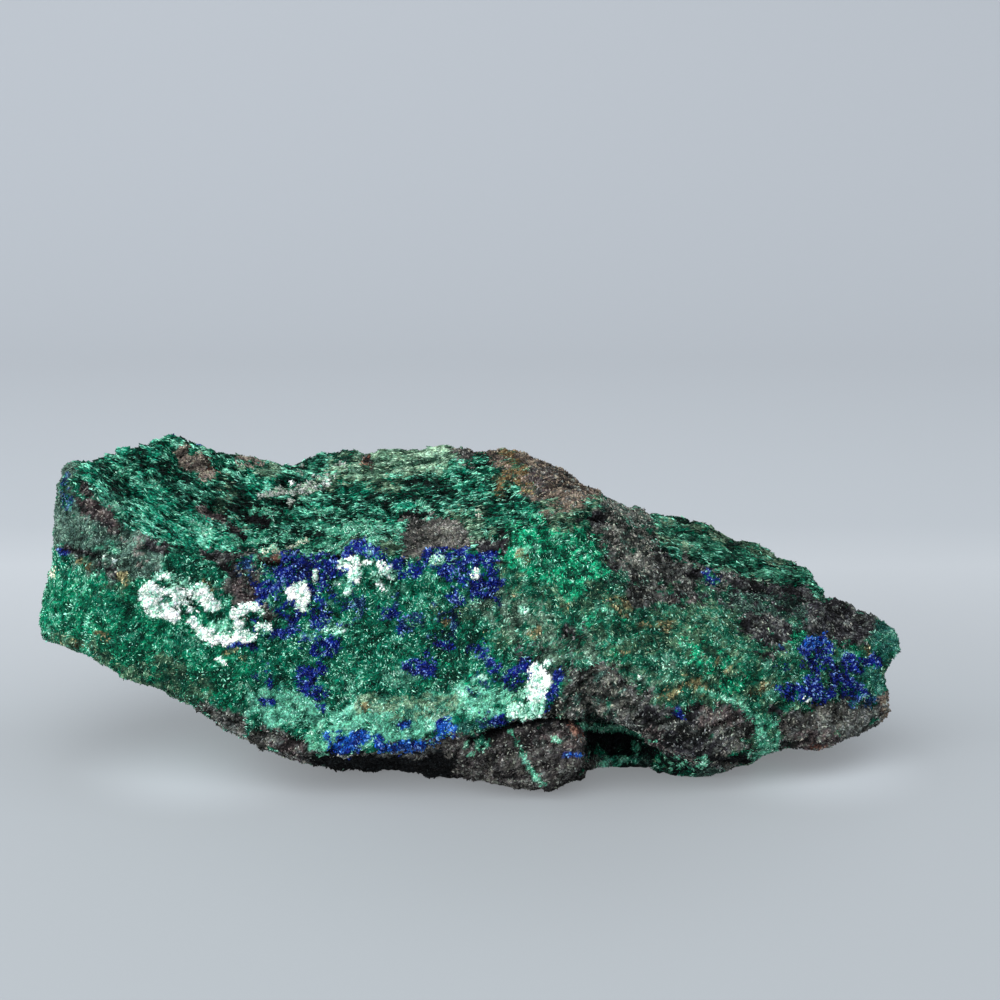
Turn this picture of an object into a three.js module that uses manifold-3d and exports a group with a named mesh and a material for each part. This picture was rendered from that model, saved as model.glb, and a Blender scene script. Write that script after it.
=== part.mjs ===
// Azurite and malachite specimen: one broken slab of dark host rock, about 147 mm long, whose front face and
// top are crusted with green malachite, blue azurite and a little white carbonate.
//
// The rock is one solid. Its broken edges run the length of the slab, so each is a line of points along X,
// and together they give the outline of a slice through the rock at any X. A wedge under the front lip, a
// notch, ledges and a rough grain are added to that form, and a surface net over the resulting field gives
// the faces.
//
// Units are millimetres. +Z is up, +X runs along the slab, and the crusted face looks along -Y.

import * as THREE from "three";
import { mergeVertices } from "three/addons/utils/BufferGeometryUtils.js";
import { ImprovedNoise } from "three/addons/math/ImprovedNoise.js";
import Module from "manifold-3d";

// ----------------------------------------------------------------------------------------------------
// The edges of the slab. Each point is [x, y, z]. A slice meets them in this order, from the back of the top
// over the front and round underneath.

// The highest line, at the back of the top.
const CREST = [
  [-74, -6, 29], [-70.2, -1, 31.8], [-70, 2, 50.2], [-66, 10, 49.2], [-62.6, 14, 50], [-59.4, 16, 51.9],
  [-56.1, 18, 53], [-52.5, 18, 51.3], [-49.1, 19, 51.6], [-45.6, 20, 49.2], [-42.2, 21, 48.3],
  [-38.7, 22, 46.6], [-35.1, 22, 45.3], [-31.5, 23, 46.8], [-26, 24, 47.7], [-20.5, 24, 48],
  [-7.7, 24, 47.6], [-2.1, 24, 48.8], [1.5, 24, 49], [8.9, 22, 48.4], [12.5, 21, 46.8], [16.1, 20, 45.6],
  [19.7, 18, 42.6], [23.3, 17, 40.6], [27, 16, 38.6], [32.3, 16, 37.3], [37.7, 15, 36.9], [41.2, 14, 36.4],
  [48.4, 13, 33.7], [55.4, 11, 30.9], [59.6, 9, 29.6], [60.8, 3, 25.3], [64.6, 1, 25.2], [68, 0, 23.7],
  [71.1, -2, 23.8], [74.6, -3, 21.4], [76, -5, 20],
];
// The bottom of the trough between the crest and the rim.
const TROUGH = [
  [-74, -8, 29], [-70.2, -4, 31.8], [-70, -1, 50.2], [-64, 1, 48.5], [-56.5, 3, 44], [-50, 4, 41.5],
  [-44, 4, 39.5], [-35, 5, 38.5], [-28, 5, 39.5], [-17, 5, 41], [-4, 5, 43], [5, 5, 45], [12, 5, 46.5],
  [18, 5, 45], [23, 5, 43], [28, 4, 40], [33, 3, 36.5], [41, 3, 34], [50, 3, 32], [57, 2, 29.5],
  [60.4, 1, 27.5], [61.4, -3, 24.5], [70, -6, 22], [76, -7, 19.5],
];
// The edge between the top and the front face.
const RIM = [
  [-74, -11, 29], [-70, -8, 31.8], [-69.8, -5, 50.2], [-64.5, -8, 48.2], [-59.5, -11, 45], [-53.5, -13.5, 41],
  [-48.5, -14, 38.5], [-44, -13, 37], [-28, -12, 36.5], [-20.5, -12, 37.5], [-17, -13, 39],
  [-11.5, -13, 37.8], [-3, -13, 38.2], [5, -14, 39.2], [10, -14, 41], [15, -12, 43.5], [22, -6, 44.5],
  [27, -6, 41], [29, -10, 36], [33, -9, 33.5], [39, -8, 31.5], [47.5, -7, 30], [56.5, -6, 28],
  [60, -6, 25.5], [65, -9, 22], [76, -9, 19],
];
// The hollow of the front face, left of x = 18, and its swell to the right.
const FACE = [
  [-74, -13.5, 28], [-68, -14.5, 30], [-61, -17, 31], [-52.5, -18, 29.5], [-44.5, -18, 24.5],
  [-35, -17, 22.5], [-23, -15.5, 21], [-11.5, -15.5, 21], [0, -16.5, 22.5], [10, -19, 24.5],
  [16.5, -21, 28.5], [20, -24, 28], [23, -26, 27], [28, -25.5, 24], [38, -24, 23], [48, -21, 22.5],
  [55, -18.5, 21], [64, -14, 18], [71, -11, 17], [76, -9, 16],
];
// The lower edge of the front face.
const LIP = [
  [-74, -15.5, 24.5], [-70.5, -16.5, 23.6], [-66, -18, 22.6], [-60.5, -20, 20.8], [-55.5, -22, 18.4],
  [-49.5, -24, 17.8], [-43.5, -25, 16.2], [-37, -26, 12.3], [-33, -26, 9], [-27, -27, 8], [-21, -27, 7.5],
  [-14, -28, 8.5], [-7.5, -29, 9.5], [-1.5, -29, 11.5], [5, -29, 14], [11.5, -28, 16], [16, -28, 18.5],
  [19.5, -27.5, 20], [21.5, -28, 13.6], [24.5, -27.5, 12.5], [29.5, -26.5, 10], [34.5, -25.5, 7.3],
  [40.5, -24.5, 5.6], [46.5, -23, 6.6], [51.5, -22, 7], [58.5, -20, 6.4], [64, -17.5, 6.4], [70, -13, 7.5],
  [76, -9, 8.5],
];
// The inner end of the undercut below the lip. It is deep only between x = 20 and x = 30.
const UNDERCUT = [
  [-74, -13, 23], [-60, -16, 19.5], [-49, -19, 15], [-37, -22, 8.5], [-30, -22, 5], [-20, -24.5, 6],
  [-11, -25, 7], [-1, -26, 9.5], [5, -26.5, 12], [11.5, -26, 14], [17, -25.5, 14.5], [19, -8, 10.5],
  [25, -6, 9.5], [29, -12, 7.5], [34, -18.5, 5.2], [40, -20.5, 3.6], [48, -18.5, 4.2], [55, -15, 4.6],
  [64, -10, 4.4], [76, -5, 5],
];
// The front edge, the middle and the back edge of the underside. The rock stands on what is below z = 0.
const FOOT = [
  [-74, -8, 23.5], [-60, -8, 19.5], [-49, -10, 13.5], [-37, -14, 6], [-28, -14, 1.5], [-20, -14, -0.6],
  [5, -16, -0.4], [18, -16, -0.7], [21, -13.5, -0.8], [29, -15, -0.8], [38, -16.5, -0.8], [46, -13, 0],
  [55, -8, 2.6], [64, -5, 3.6], [76, -1, 5],
];
const UNDERSIDE = [
  [-74, -4, 24], [-60, 1, 20], [-49, 3, 13], [-37, 3, 5], [-29, 4, 2], [-20, 3, 0.6], [-12, 2, -0.7],
  [-3, 3, -0.7], [5, 1, 0.7], [13, 3, 1.1], [21, 4, 0.5], [29, 2, -0.6], [37, 1, -0.5], [45, 0, 0.8],
  [55, 1, 3.2], [64, 1, 5], [76, 0, 7],
];
const HEEL = [
  [-74, 0, 25], [-60, 10, 21], [-49, 16, 13], [-37, 19, 5], [-28, 21, 0.5], [-20, 20, -0.6], [-4, 22, -0.3],
  [8, 18, -0.6], [22, 20, -0.2], [35, 16, -0.6], [45, 14, 0.5], [55, 9, 3.5], [64, 6, 5.5], [76, 1, 8],
];
// The ridges of the broken back, the lower one first.
const LOW_BACK = [
  [-74, 1, 26], [-62, 14, 27], [-48, 23, 17], [-36, 27, 17], [-24, 26, 9], [-6, 31, 11], [8, 26, 6],
  [20, 27, 11], [34, 23, 7], [48, 15, 10], [60, 11, 8], [76, 2, 11],
];
const BACK = [
  [-74, 0, 29], [-69, 13, 40], [-58, 21, 34], [-45, 27, 37], [-30, 33, 25], [-13, 31, 31], [3, 35, 20],
  [17, 30, 28], [30, 29, 18], [44, 21, 22], [56, 18, 15], [66, 10, 17], [76, 2, 15],
];
const EDGES = [CREST, TROUGH, RIM, FACE, LIP, UNDERCUT, FOOT, UNDERSIDE, HEEL, LOW_BACK, BACK];

// The broken ends. Rock is kept on the side that each normal points away from.
const END_BREAKS = [
  { at: [-72, -12, 28], normal: [-1, -0.1, -0.15] },
  { at: [74.2, -3, 20], normal: [1, 0.1, -0.3] },
  { at: [71.8, -5, 7.6], normal: [0.9, -0.1, -0.3] },
];

// The wedge of rock under the lip, parted from it by a crack. It thickens to the right and ends in a corner
// that the rock stands on.
const WEDGE = [
  { at: [5, -27.8, 10], normal: [0, -1, 0.1] },
  { at: [19.2, -20, 8], normal: [1, -0.1, 0] },
  { at: [5, -26, 10.4], normal: [-0.42, 0, 0.9] },
  { at: [12.7, -22.3, -1], normal: [0.45, -0.45, -0.77] },
  { at: [12.7, -22.3, -1], normal: [-0.22, -0.6, -0.77] },
  { at: [0, -8, 5], normal: [0, 1, 0] },
  { at: [0, -20, -1], normal: [0, 0, -1] },
];

// Pieces broken out of the rock.
const NOTCHES = [
  // the step in the right-hand end
  [
    { at: [70.2, -7, 14], normal: [-1, 0, 0.1] },
    { at: [70.2, -7, 17.8], normal: [-0.35, 0, 1] },
    { at: [70.2, -7, 12.4], normal: [-0.5, 0, -1] },
  ],
];

const ROUGHNESS = [
  { length: 12, depth: 0.9 },
  { length: 5, depth: 0.6 },
];
const LEDGE = { normal: [0.3, -0.25, 0.92], spacing: 8, depth: 0.35, waviness: 0.9 };
const NOISE_ORIGIN = [40, 50, 60]; // which stretch of the endless noise pattern the rock lies in

const CELL = [2.5, 2.9, 2.4]; // the size of the net's cells
const MARGIN = 6; // clear space around the rock in the net
const COLOUR = 0x2f6d57; // the malachite's green, which is most of what shows

// ----------------------------------------------------------------------------------------------------
// The field: negative inside the rock, about the distance to its surface in millimetres.

const noise = new ImprovedNoise();
const noiseAt = (p, length) => noise.noise(...p.map((v, n) => v / length + NOISE_ORIGIN[n]));
const dot = (a, b) => a[0] * b[0] + a[1] * b[1] + a[2] * b[2];

// An edge's depth and height at x, straight between its points.
function edgeAt(edge, x) {
  let i = 1;
  while (i < edge.length - 1 && edge[i][0] < x) i++;
  const [a, b] = [edge[i - 1], edge[i]];
  const t = THREE.MathUtils.clamp((x - a[0]) / (b[0] - a[0]), 0, 1);
  return [a[1] + t * (b[1] - a[1]), a[2] + t * (b[2] - a[2])];
}

// Distance from (y, z) to the slice through the edges at x, negative inside it.
function sliceDistance(x, y, z) {
  const outline = EDGES.map((edge) => edgeAt(edge, x));
  let nearest = Infinity;
  let inside = false;
  outline.forEach(([y1, z1], i) => {
    const [y0, z0] = outline[(i + outline.length - 1) % outline.length];
    const [ey, ez] = [y1 - y0, z1 - z0];
    const t = THREE.MathUtils.clamp(((y - y0) * ey + (z - z0) * ez) / (ey * ey + ez * ez || 1), 0, 1);
    nearest = Math.min(nearest, Math.hypot(y - y0 - t * ey, z - z0 - t * ez));
    if (z0 > z !== z1 > z && y < y0 + ((z - z0) * ey) / ez) inside = !inside;
  });
  return inside ? -nearest : nearest;
}

// Distance outside the space that a set of planes bounds.
const planesDistance = (planes, p) =>
  Math.max(
    ...planes.map(({ at, normal }) => (dot(p, normal) - dot(at, normal)) / Math.hypot(...normal)),
  );

function ledges(p) {
  const level = dot(p, LEDGE.normal) / LEDGE.spacing + LEDGE.waviness * noiseAt(p, 2 * LEDGE.spacing);
  return LEDGE.depth * (2 * (level - Math.floor(level)) - 1);
}

function field(p) {
  const slab = Math.max(sliceDistance(...p), planesDistance(END_BREAKS, p));
  const whole = Math.min(slab, planesDistance(WEDGE, p));
  const notched = Math.max(whole, ...NOTCHES.map((planes) => -planesDistance(planes, p)));
  const rough = ROUGHNESS.reduce((sum, { length, depth }) => sum + depth * noiseAt(p, length), 0);
  return notched + rough + ledges(p);
}

// ----------------------------------------------------------------------------------------------------
// The mesh.

// A cell's corners, its edges as pairs of corners, and its faces as rings of them.
const CORNERS = [0, 1, 2, 3, 4, 5, 6, 7].map((c) => [c & 1, (c >> 1) & 1, (c >> 2) & 1]);
const STEPS = [1, 2, 4]; // from a corner's number to that of its neighbour along X, Y and Z
const CELL_EDGES = CORNERS.flatMap((_, a) =>
  STEPS.filter((step) => !(a & step)).map((step) => [a, a | step]),
);
const CELL_FACES = STEPS.flatMap((across) => {
  const [u, w] = STEPS.filter((step) => step !== across);
  return [0, across].map((start) => [start, start | u, start | u | w, start | w]);
});
const FILLED = -1e-3; // the value of a grid point that is filled to close a pinch
const PROJECTION = { passes: 3, step: 0.2, leastSteepness: 0.25 };

// Whether two sheets of the surface meet in a cell, which would pinch the net there. They do where the
// corners of one side lie across a face from each other, or are two opposite corners of the cell.
function isPinched(isIn) {
  const acrossFace = ([a, b, c, d]) => isIn[a] === isIn[c] && isIn[b] === isIn[d] && isIn[a] !== isIn[b];
  const acrossCell = (side) =>
    isIn.filter((v) => v === side).length === 2 && isIn.some((v, a) => v === side && isIn[7 - a] === side);
  return CELL_FACES.some(acrossFace) || acrossCell(true) || acrossCell(false);
}

// Joins the two sheets of a pinched cell by filling its outside corner nearest to the surface. Returns
// whether the cell was pinched.
function fillPinch(value, cell) {
  if (!isPinched(cell.map((c) => value[c] < 0))) return false;
  const outside = cell.filter((c) => value[c] >= 0);
  const nearest = outside.reduce((best, c) => (value[c] < value[best] ? c : best));
  value[nearest] = FILLED;
  return true;
}

// A point near the surface, moved on to it along the field's slope, by at most a third of a cell each way.
function ontoSurface(point, cell) {
  const moved = [...point];
  for (let pass = 0; pass < PROJECTION.passes; pass++) {
    const value = field(moved);
    const slope = moved.map((v, n) => (field(moved.with(n, v + PROJECTION.step)) - value) / PROJECTION.step);
    const steepness = Math.max(dot(slope, slope), PROJECTION.leastSteepness);
    for (const n of [0, 1, 2]) {
      const room = cell[n] / 3;
      const next = moved[n] - (value * slope[n]) / steepness;
      moved[n] = THREE.MathUtils.clamp(next, point[n] - room, point[n] + room);
    }
  }
  return moved;
}

// Where the surface crosses a cell: the mean of its crossings of the cell's edges, from 0 to 1 along each
// axis.
function cellMiddle(values) {
  const crossings = CELL_EDGES.filter(([a, b]) => values[a] < 0 !== values[b] < 0);
  if (crossings.length === 0) return null;
  const middle = [0, 0, 0];
  for (const [a, b] of crossings) {
    const t = values[a] / (values[a] - values[b]);
    for (const n of [0, 1, 2]) {
      middle[n] += (CORNERS[a][n] + t * (CORNERS[b][n] - CORNERS[a][n])) / crossings.length;
    }
  }
  return middle;
}

// Two triangles for a quad, cut along its shorter diagonal.
function splitQuad([a, b, c, d], points) {
  const apart = (m, n) => Math.hypot(...points[m].map((v, k) => v - points[n][k]));
  return apart(a, c) < apart(b, d) ? [a, b, c, a, c, d] : [a, b, d, b, c, d];
}

function forEachIn(low, high, visit) {
  for (let k = low[2]; k < high[2]; k++)
    for (let j = low[1]; j < high[1]; j++)
      for (let i = low[0]; i < high[0]; i++) visit(i, j, k);
}

// A surface net: one vertex in each cell that the surface crosses, and one quad for each grid edge that
// crosses it.
function surfaceNet(low, high, cell) {
  const count = low.map((v, n) => Math.ceil((high[n] - v) / cell[n]) + 1);
  const cells = count.map((c) => c - 1);
  const strides = [1, count[0], count[0] * count[1]];
  const index = (i, j, k) => i * strides[0] + j * strides[1] + k * strides[2];
  const cellCorners = (i, j, k) => CORNERS.map(([a, b, c]) => index(i + a, j + b, k + c));
  const place = (i, j, k) => [i, j, k].map((step, n) => low[n] + step * cell[n]);

  const value = new Float64Array(count[0] * count[1] * count[2]);
  forEachIn([0, 0, 0], count, (i, j, k) => {
    value[index(i, j, k)] = field(place(i, j, k));
  });

  let pinches;
  do {
    pinches = 0;
    forEachIn([0, 0, 0], cells, (i, j, k) => {
      if (fillPinch(value, cellCorners(i, j, k))) pinches++;
    });
  } while (pinches > 0);

  const vertexOf = new Map();
  const points = [];
  forEachIn([0, 0, 0], cells, (i, j, k) => {
    const middle = cellMiddle(cellCorners(i, j, k).map((c) => value[c]));
    if (!middle) return;
    vertexOf.set(index(i, j, k), points.length);
    points.push(ontoSurface(place(i + middle[0], j + middle[1], k + middle[2]), cell));
  });

  const triangles = [];
  forEachIn([1, 1, 1], cells, (i, j, k) => {
    const here = index(i, j, k);
    for (const axis of [0, 1, 2]) {
      const startsInside = value[here] < 0;
      const endsInside = value[here + strides[axis]] < 0;
      if (startsInside === endsInside) continue;
      const [u, w] = [strides[(axis + 1) % 3], strides[(axis + 2) % 3]];
      const ring = [here, here - u, here - u - w, here - w].map((c) => vertexOf.get(c));
      if (!startsInside) ring.reverse();
      triangles.push(...splitQuad(ring, points));
    }
  });
  return new THREE.BufferGeometry()
    .setAttribute("position", new THREE.Float32BufferAttribute(points.flat(), 3))
    .setIndex(triangles);
}

// ----------------------------------------------------------------------------------------------------
// The solid.

function toManifold(wasm, geometry) {
  const bare = geometry.clone();
  bare.deleteAttribute("normal");
  bare.deleteAttribute("uv");
  const merged = mergeVertices(bare);
  return new wasm.Manifold(
    new wasm.Mesh({
      numProp: 3,
      vertProperties: merged.attributes.position.array,
      triVerts: new Uint32Array(merged.index.array),
    }),
  );
}

function toGeometry(solid) {
  const { vertProperties, triVerts } = solid.getMesh();
  return new THREE.BufferGeometry()
    .setAttribute("position", new THREE.BufferAttribute(vertProperties, 3))
    .setIndex(new THREE.BufferAttribute(triVerts, 1));
}

// Everything below z = 0, where the rock stands.
function ground() {
  const [length, depth, height] = [200, 100, 20];
  return new THREE.BoxGeometry(length, depth, height).translate(0, 0, -height / 2);
}

// The part's origin is the middle of the box around it, at its base.
function centred(geometry) {
  geometry.computeBoundingBox();
  const { min, max } = geometry.boundingBox;
  return geometry.translate(-(min.x + max.x) / 2, -(min.y + max.y) / 2, -min.z);
}

async function rock() {
  const wasm = await Module();
  wasm.setup();
  const points = EDGES.flat();
  const low = [0, 1, 2].map((n) => Math.min(...points.map((p) => p[n])) - MARGIN);
  const high = [0, 1, 2].map((n) => Math.max(...points.map((p) => p[n])) + MARGIN);
  const net = surfaceNet(low, high, CELL);
  const solid = toManifold(wasm, net).subtract(toManifold(wasm, ground()));
  const material = new THREE.MeshStandardMaterial({ color: COLOUR, roughness: 0.75, metalness: 0 });
  const mesh = new THREE.Mesh(centred(toGeometry(solid)), material);
  mesh.name = "azurite_malachite_rock";
  return mesh;
}

const specimen = new THREE.Group();
specimen.add(await rock());
export default specimen;
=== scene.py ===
"""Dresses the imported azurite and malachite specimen: a broken slab of dark rock crusted with green malachite, blue
azurite and white carbonate.

The rock's surface is the CAD solid, remeshed finely and roughened. Crystals under a millimetre long stand on it as
joined meshes. What mineral shows where comes from strokes laid on the front and the top, and from noise where the
rock can't be seen. Lengths in this file are millimetres until they reach Blender, which takes metres.
"""

import math

import bpy
import numpy as np
from mathutils import Matrix, Vector
from mathutils.bvhtree import BVHTree


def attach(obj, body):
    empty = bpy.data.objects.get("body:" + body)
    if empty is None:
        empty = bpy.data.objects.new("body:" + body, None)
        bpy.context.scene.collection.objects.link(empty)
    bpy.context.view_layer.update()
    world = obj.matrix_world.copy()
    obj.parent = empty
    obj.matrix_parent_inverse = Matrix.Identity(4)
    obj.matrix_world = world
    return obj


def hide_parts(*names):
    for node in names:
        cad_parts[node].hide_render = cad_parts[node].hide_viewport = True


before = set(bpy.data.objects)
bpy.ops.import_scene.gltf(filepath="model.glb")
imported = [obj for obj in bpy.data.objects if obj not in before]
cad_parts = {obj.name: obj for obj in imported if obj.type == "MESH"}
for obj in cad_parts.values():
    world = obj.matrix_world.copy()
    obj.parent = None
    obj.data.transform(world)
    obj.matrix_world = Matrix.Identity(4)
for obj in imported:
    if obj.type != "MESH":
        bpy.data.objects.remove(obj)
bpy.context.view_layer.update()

MM = 0.001
ROCK_NODE = "azurite_malachite_rock"
TINY = 1e-9  # keeps a division from being by nothing
random = np.random.default_rng(seed=7)


def add_object(name, data):
    """A new object of the scene for a mesh, a light or a camera."""
    added = bpy.data.objects.new(name, data)
    bpy.context.scene.collection.objects.link(added)
    return added


def new_material(name):
    """A material, its nodes, its links and its shader."""
    material = bpy.data.materials.new(name)
    material.use_nodes = True
    nodes = material.node_tree.nodes
    return material, nodes, material.node_tree.links, nodes["Principled BSDF"]


def set_inputs(node, values):
    """Sets a node's inputs, by their names."""
    for name, value in values.items():
        node.inputs[name].default_value = value


# ------------------------------
# The camera, the floor and the light.

# Millimetres, from the rock's middle at the floor, where nothing else is said.
LENS = 70.0
SENSOR = 36.0
CAMERA_PLACE = (5.14, -329.36, 119.2)
CAMERA_PITCH = 13.0  # degrees below the horizon
PICTURE = 1000  # pixels each way

FLOOR_FRONT = -2400.0
FLOOR_DEPTH = 430.0  # from the rock to where the floor starts to turn up into the backdrop
SWEEP_RADIUS = 260.0
SWEEP_STEPS = 24
BACKDROP_HEIGHT = 1200.0
STAGE_WIDTH = 3600.0
# The paper's colour at shares of the way from the rock to the backdrop: darker at and in front of the rock as
# painted shadow, and a painted light band crosses it behind the rock.
PAPER_SHADES = [(0.0, (119, 125, 130)), (0.03, (127, 133, 138)), (0.1, (137, 142, 147)), (0.17, (146, 151, 156)),
                (0.23, (135, 141, 147)), (0.6, (130, 136, 143)), (1.0, (124, 130, 138))]
PAPER_ROUGHNESS = 0.6
PAPER_PAINTED_GLOW = 0.2  # painted light: the paper glows, which lifts the shadows on it
# Painted light on the paper under the overhangs, and painted shadow on it around the foot: x, y, radius, change.
PAPER_PAINTED_LIGHT_AND_SHADOW = [(-44, -14, 27, 0.95), (57, -15, 24, 0.75), (10, -38, 62, -0.14)]

# Each light's name, place, width, power in watts and colour.
LIGHTS = [
    ("key", (-160, -420, 760), 850, 5.2, (1.0, 0.985, 0.96)),
    ("fill", (-720, -560, 170), 600, 8.0, (1.0, 0.99, 0.97)),
]
ROOM_COLOUR = (0.93, 0.965, 1.0)
ROOM_LIGHT = 1.1


def make_camera():
    data = bpy.data.cameras.new("camera")
    data.lens = LENS
    data.sensor_width = SENSOR
    camera = add_object("camera", data)
    camera.location = Vector(CAMERA_PLACE) * MM
    camera.rotation_euler = (math.radians(90 - CAMERA_PITCH), 0, 0)
    bpy.context.scene.camera = camera


def camera_axes():
    """The directions straight ahead of the camera and up from it."""
    pitch = math.radians(CAMERA_PITCH)
    return (0, math.cos(pitch), -math.sin(pitch)), (0, math.sin(pitch), math.cos(pitch))


def pixel_ray(x, y):
    """The direction in which the camera sees a pixel of the picture."""
    right = (x - PICTURE / 2) / PICTURE * SENSOR / LENS
    up = (PICTURE / 2 - y) / PICTURE * SENSOR / LENS
    ahead, above = (Vector(axis) for axis in camera_axes())
    return (ahead + above * up + Vector((right, 0, 0))).normalized()


def make_stage():
    """A pale floor that turns up into a backdrop behind the rock."""
    turn = [math.radians(90 * i / SWEEP_STEPS) for i in range(SWEEP_STEPS + 1)]
    profile = [(FLOOR_FRONT, 0.0)]
    profile += [(FLOOR_DEPTH + SWEEP_RADIUS * math.sin(a), SWEEP_RADIUS * (1 - math.cos(a))) for a in turn]
    profile += [(FLOOR_DEPTH + SWEEP_RADIUS, BACKDROP_HEIGHT)]
    vertices = [(x * STAGE_WIDTH / 2 * MM, y * MM, z * MM) for y, z in profile for x in (-1, 1)]
    faces = [(2 * i, 2 * i + 1, 2 * i + 3, 2 * i + 2) for i in range(len(profile) - 1)]
    mesh = bpy.data.meshes.new("stage")
    mesh.from_pydata(vertices, [], faces)
    mesh.shade_smooth()
    stage = add_object("stage", mesh)
    mesh.materials.append(paper_material())


def paper_material():
    """Pale paper in soft bands, with round patches of painted light and painted shadow on it."""
    material, nodes, links, shader = new_material("stage_paper")
    # The paper's glow is painted light, which lifts its shadows.
    set_inputs(shader, {
        "Roughness": PAPER_ROUGHNESS, "Emission Color": (*ROOM_COLOUR, 1), "Emission Strength": PAPER_PAINTED_GLOW,
    })
    where = nodes.new("ShaderNodeTexCoord")
    split = nodes.new("ShaderNodeSeparateXYZ")
    bands = nodes.new("ShaderNodeValToRGB")
    span = nodes.new("ShaderNodeMapRange")
    set_inputs(span, {"From Max": (FLOOR_DEPTH + SWEEP_RADIUS) * MM})
    shades = bands.color_ramp.elements
    for place, _ in PAPER_SHADES[1:-1]:
        shades.new(place)
    for shade, (_, colour) in zip(shades, PAPER_SHADES):
        shade.color = (*linear(colour), 1)
    links.new(where.outputs["Object"], split.inputs["Vector"])
    links.new(split.outputs["Y"], span.inputs["Value"])
    links.new(span.outputs["Result"], bands.inputs["Fac"])
    colour = bands.outputs["Color"]
    # Round patches of painted light and painted shadow on the paper.
    for x, y, radius, change in PAPER_PAINTED_LIGHT_AND_SHADOW:
        away = nodes.new("ShaderNodeVectorMath")
        away.operation = "DISTANCE"
        away.inputs[1].default_value = Vector((x, y, 0)) * MM
        links.new(where.outputs["Object"], away.inputs[0])
        fade = nodes.new("ShaderNodeMapRange")
        fade.interpolation_type = "SMOOTHSTEP"
        set_inputs(fade, {"From Max": radius * MM, "To Min": 1 + change, "To Max": 1})
        links.new(away.outputs["Value"], fade.inputs["Value"])
        painted_patch = nodes.new("ShaderNodeVectorMath")
        painted_patch.operation = "SCALE"
        links.new(colour, painted_patch.inputs["Vector"])
        links.new(fade.outputs["Result"], painted_patch.inputs["Scale"])
        colour = painted_patch.outputs["Vector"]
    links.new(colour, shader.inputs["Base Color"])
    return material


def make_light(name, place, width, power, colour):
    """A round area light that shines at the middle of the rock's foot."""
    data = bpy.data.lights.new(name, "AREA")
    data.shape = "DISK"
    data.size = width * MM
    data.energy = power
    data.color = colour
    light = add_object(name, data)
    light.location = Vector(place) * MM
    light.rotation_euler = (-light.location).to_track_quat("-Z", "Y").to_euler()


def light_the_scene():
    for light in LIGHTS:
        make_light(*light)
    world = bpy.data.worlds.new("room")
    world.use_nodes = True
    set_inputs(world.node_tree.nodes["Background"], {"Color": (*ROOM_COLOUR, 1), "Strength": ROOM_LIGHT})
    bpy.context.scene.world = world
    bpy.context.scene.view_settings.view_transform = "Standard"
    bpy.context.scene.view_settings.look = "None"


# ------------------------------
# Colour and noise.

NOISE_START = 1000.5  # cells by which every place is moved, so that no cell is negative
NOISE_GAIN = 1.4  # brings the noise up to about 1
OCTAVES_SUM = 1.5  # by which noise with its octaves is divided
NOISE_SPREAD = 0.27  # rough_noise's standard deviation
EVEN_SLOPE = 1.7  # at which a logistic curve makes evenly spread numbers of normally spread ones
CHIP_STRAY = 0.5  # how far a chip's middle lies from its cell's, in cells
CHIP_STEP = 0.5  # how much higher or lower a chip lies than the others


def linear(colour):
    """A colour of 0 to 255 a channel in sRGB, as the shaders' linear values."""
    channels = np.asarray(colour) / 255
    return tuple(np.where(channels <= 0.04045, channels / 12.92, ((channels + 0.055) / 1.055) ** 2.4))


def lattice(cells, seed):
    """A repeatable number from -1 to 1 for each whole-numbered point, from a hash of its coordinates."""
    primes = np.array([73856093, 19349663, 83492791], dtype=np.uint64)
    n = np.bitwise_xor.reduce(cells.astype(np.int64).astype(np.uint64) * primes, axis=-1)
    n ^= np.uint64(seed * 2654435761 % 2**32)
    for shift, factor in ((15, 2246822519), (13, 3266489917), (16, 1)):
        n &= np.uint64(0xFFFFFFFF)
        n = (n ^ (n >> np.uint64(shift))) * np.uint64(factor)
    return (n & np.uint64(0xFFFFFFFF)).astype(float) / 2**31 - 1


def noise(points, size, seed):
    """Smooth noise of about -1 to 1 with lumps of the given size in mm; a list gives a size along each axis."""
    scaled = points / np.asarray(size, dtype=float) + NOISE_START
    cell = np.floor(scaled)
    f = scaled - cell
    f = f * f * f * (f * (f * 6 - 15) + 10)  # rises from 0 to 1 and is flat at both
    total = np.zeros(len(points))
    for corner in np.ndindex(2, 2, 2):
        weight = np.prod(np.where(corner, f, 1 - f), axis=1)
        total += weight * lattice(cell + corner, seed)
    return total * NOISE_GAIN


def rough_noise(points, size, seed, octaves=3):
    """Noise with finer noise on it, each octave half the size and half the height of the last."""
    total = np.zeros(len(points))
    for i in range(octaves):
        total += noise(points, np.asarray(size, dtype=float) / 2**i, seed + i) / 2**i
    return total / OCTAVES_SUM


def even_noise(points, size, seed):
    """Noise spread about evenly over 0 to 1, so that a share of the surface lies below that share."""
    return 1 / (1 + np.exp(-EVEN_SLOPE * rough_noise(points, size, seed) / NOISE_SPREAD))


def lattice_vectors(cells, seed):
    return np.stack([lattice(cells, seed + i) for i in range(3)], axis=1)


def chips(points, size, seed):
    """Flat, tilted facets of about the given size in mm, as on broken rock: heights of about -1 to 1."""
    scaled = points / np.asarray(size, dtype=float) + NOISE_START
    home = np.floor(scaled)
    nearest = np.full(len(points), np.inf)
    height = np.zeros(len(points))
    for step in np.ndindex(3, 3, 3):
        cell = home + np.array(step) - 1
        away = scaled - cell - lattice_vectors(cell, seed) * CHIP_STRAY - 0.5
        distance = (away**2).sum(axis=1)
        closer = np.flatnonzero(distance < nearest)
        nearest[closer] = distance[closer]
        tilt = lattice_vectors(cell[closer], seed + 3)
        height[closer] = CHIP_STEP * lattice(cell[closer], seed + 6) + (away[closer] * tilt).sum(axis=1)
    return height


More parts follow.
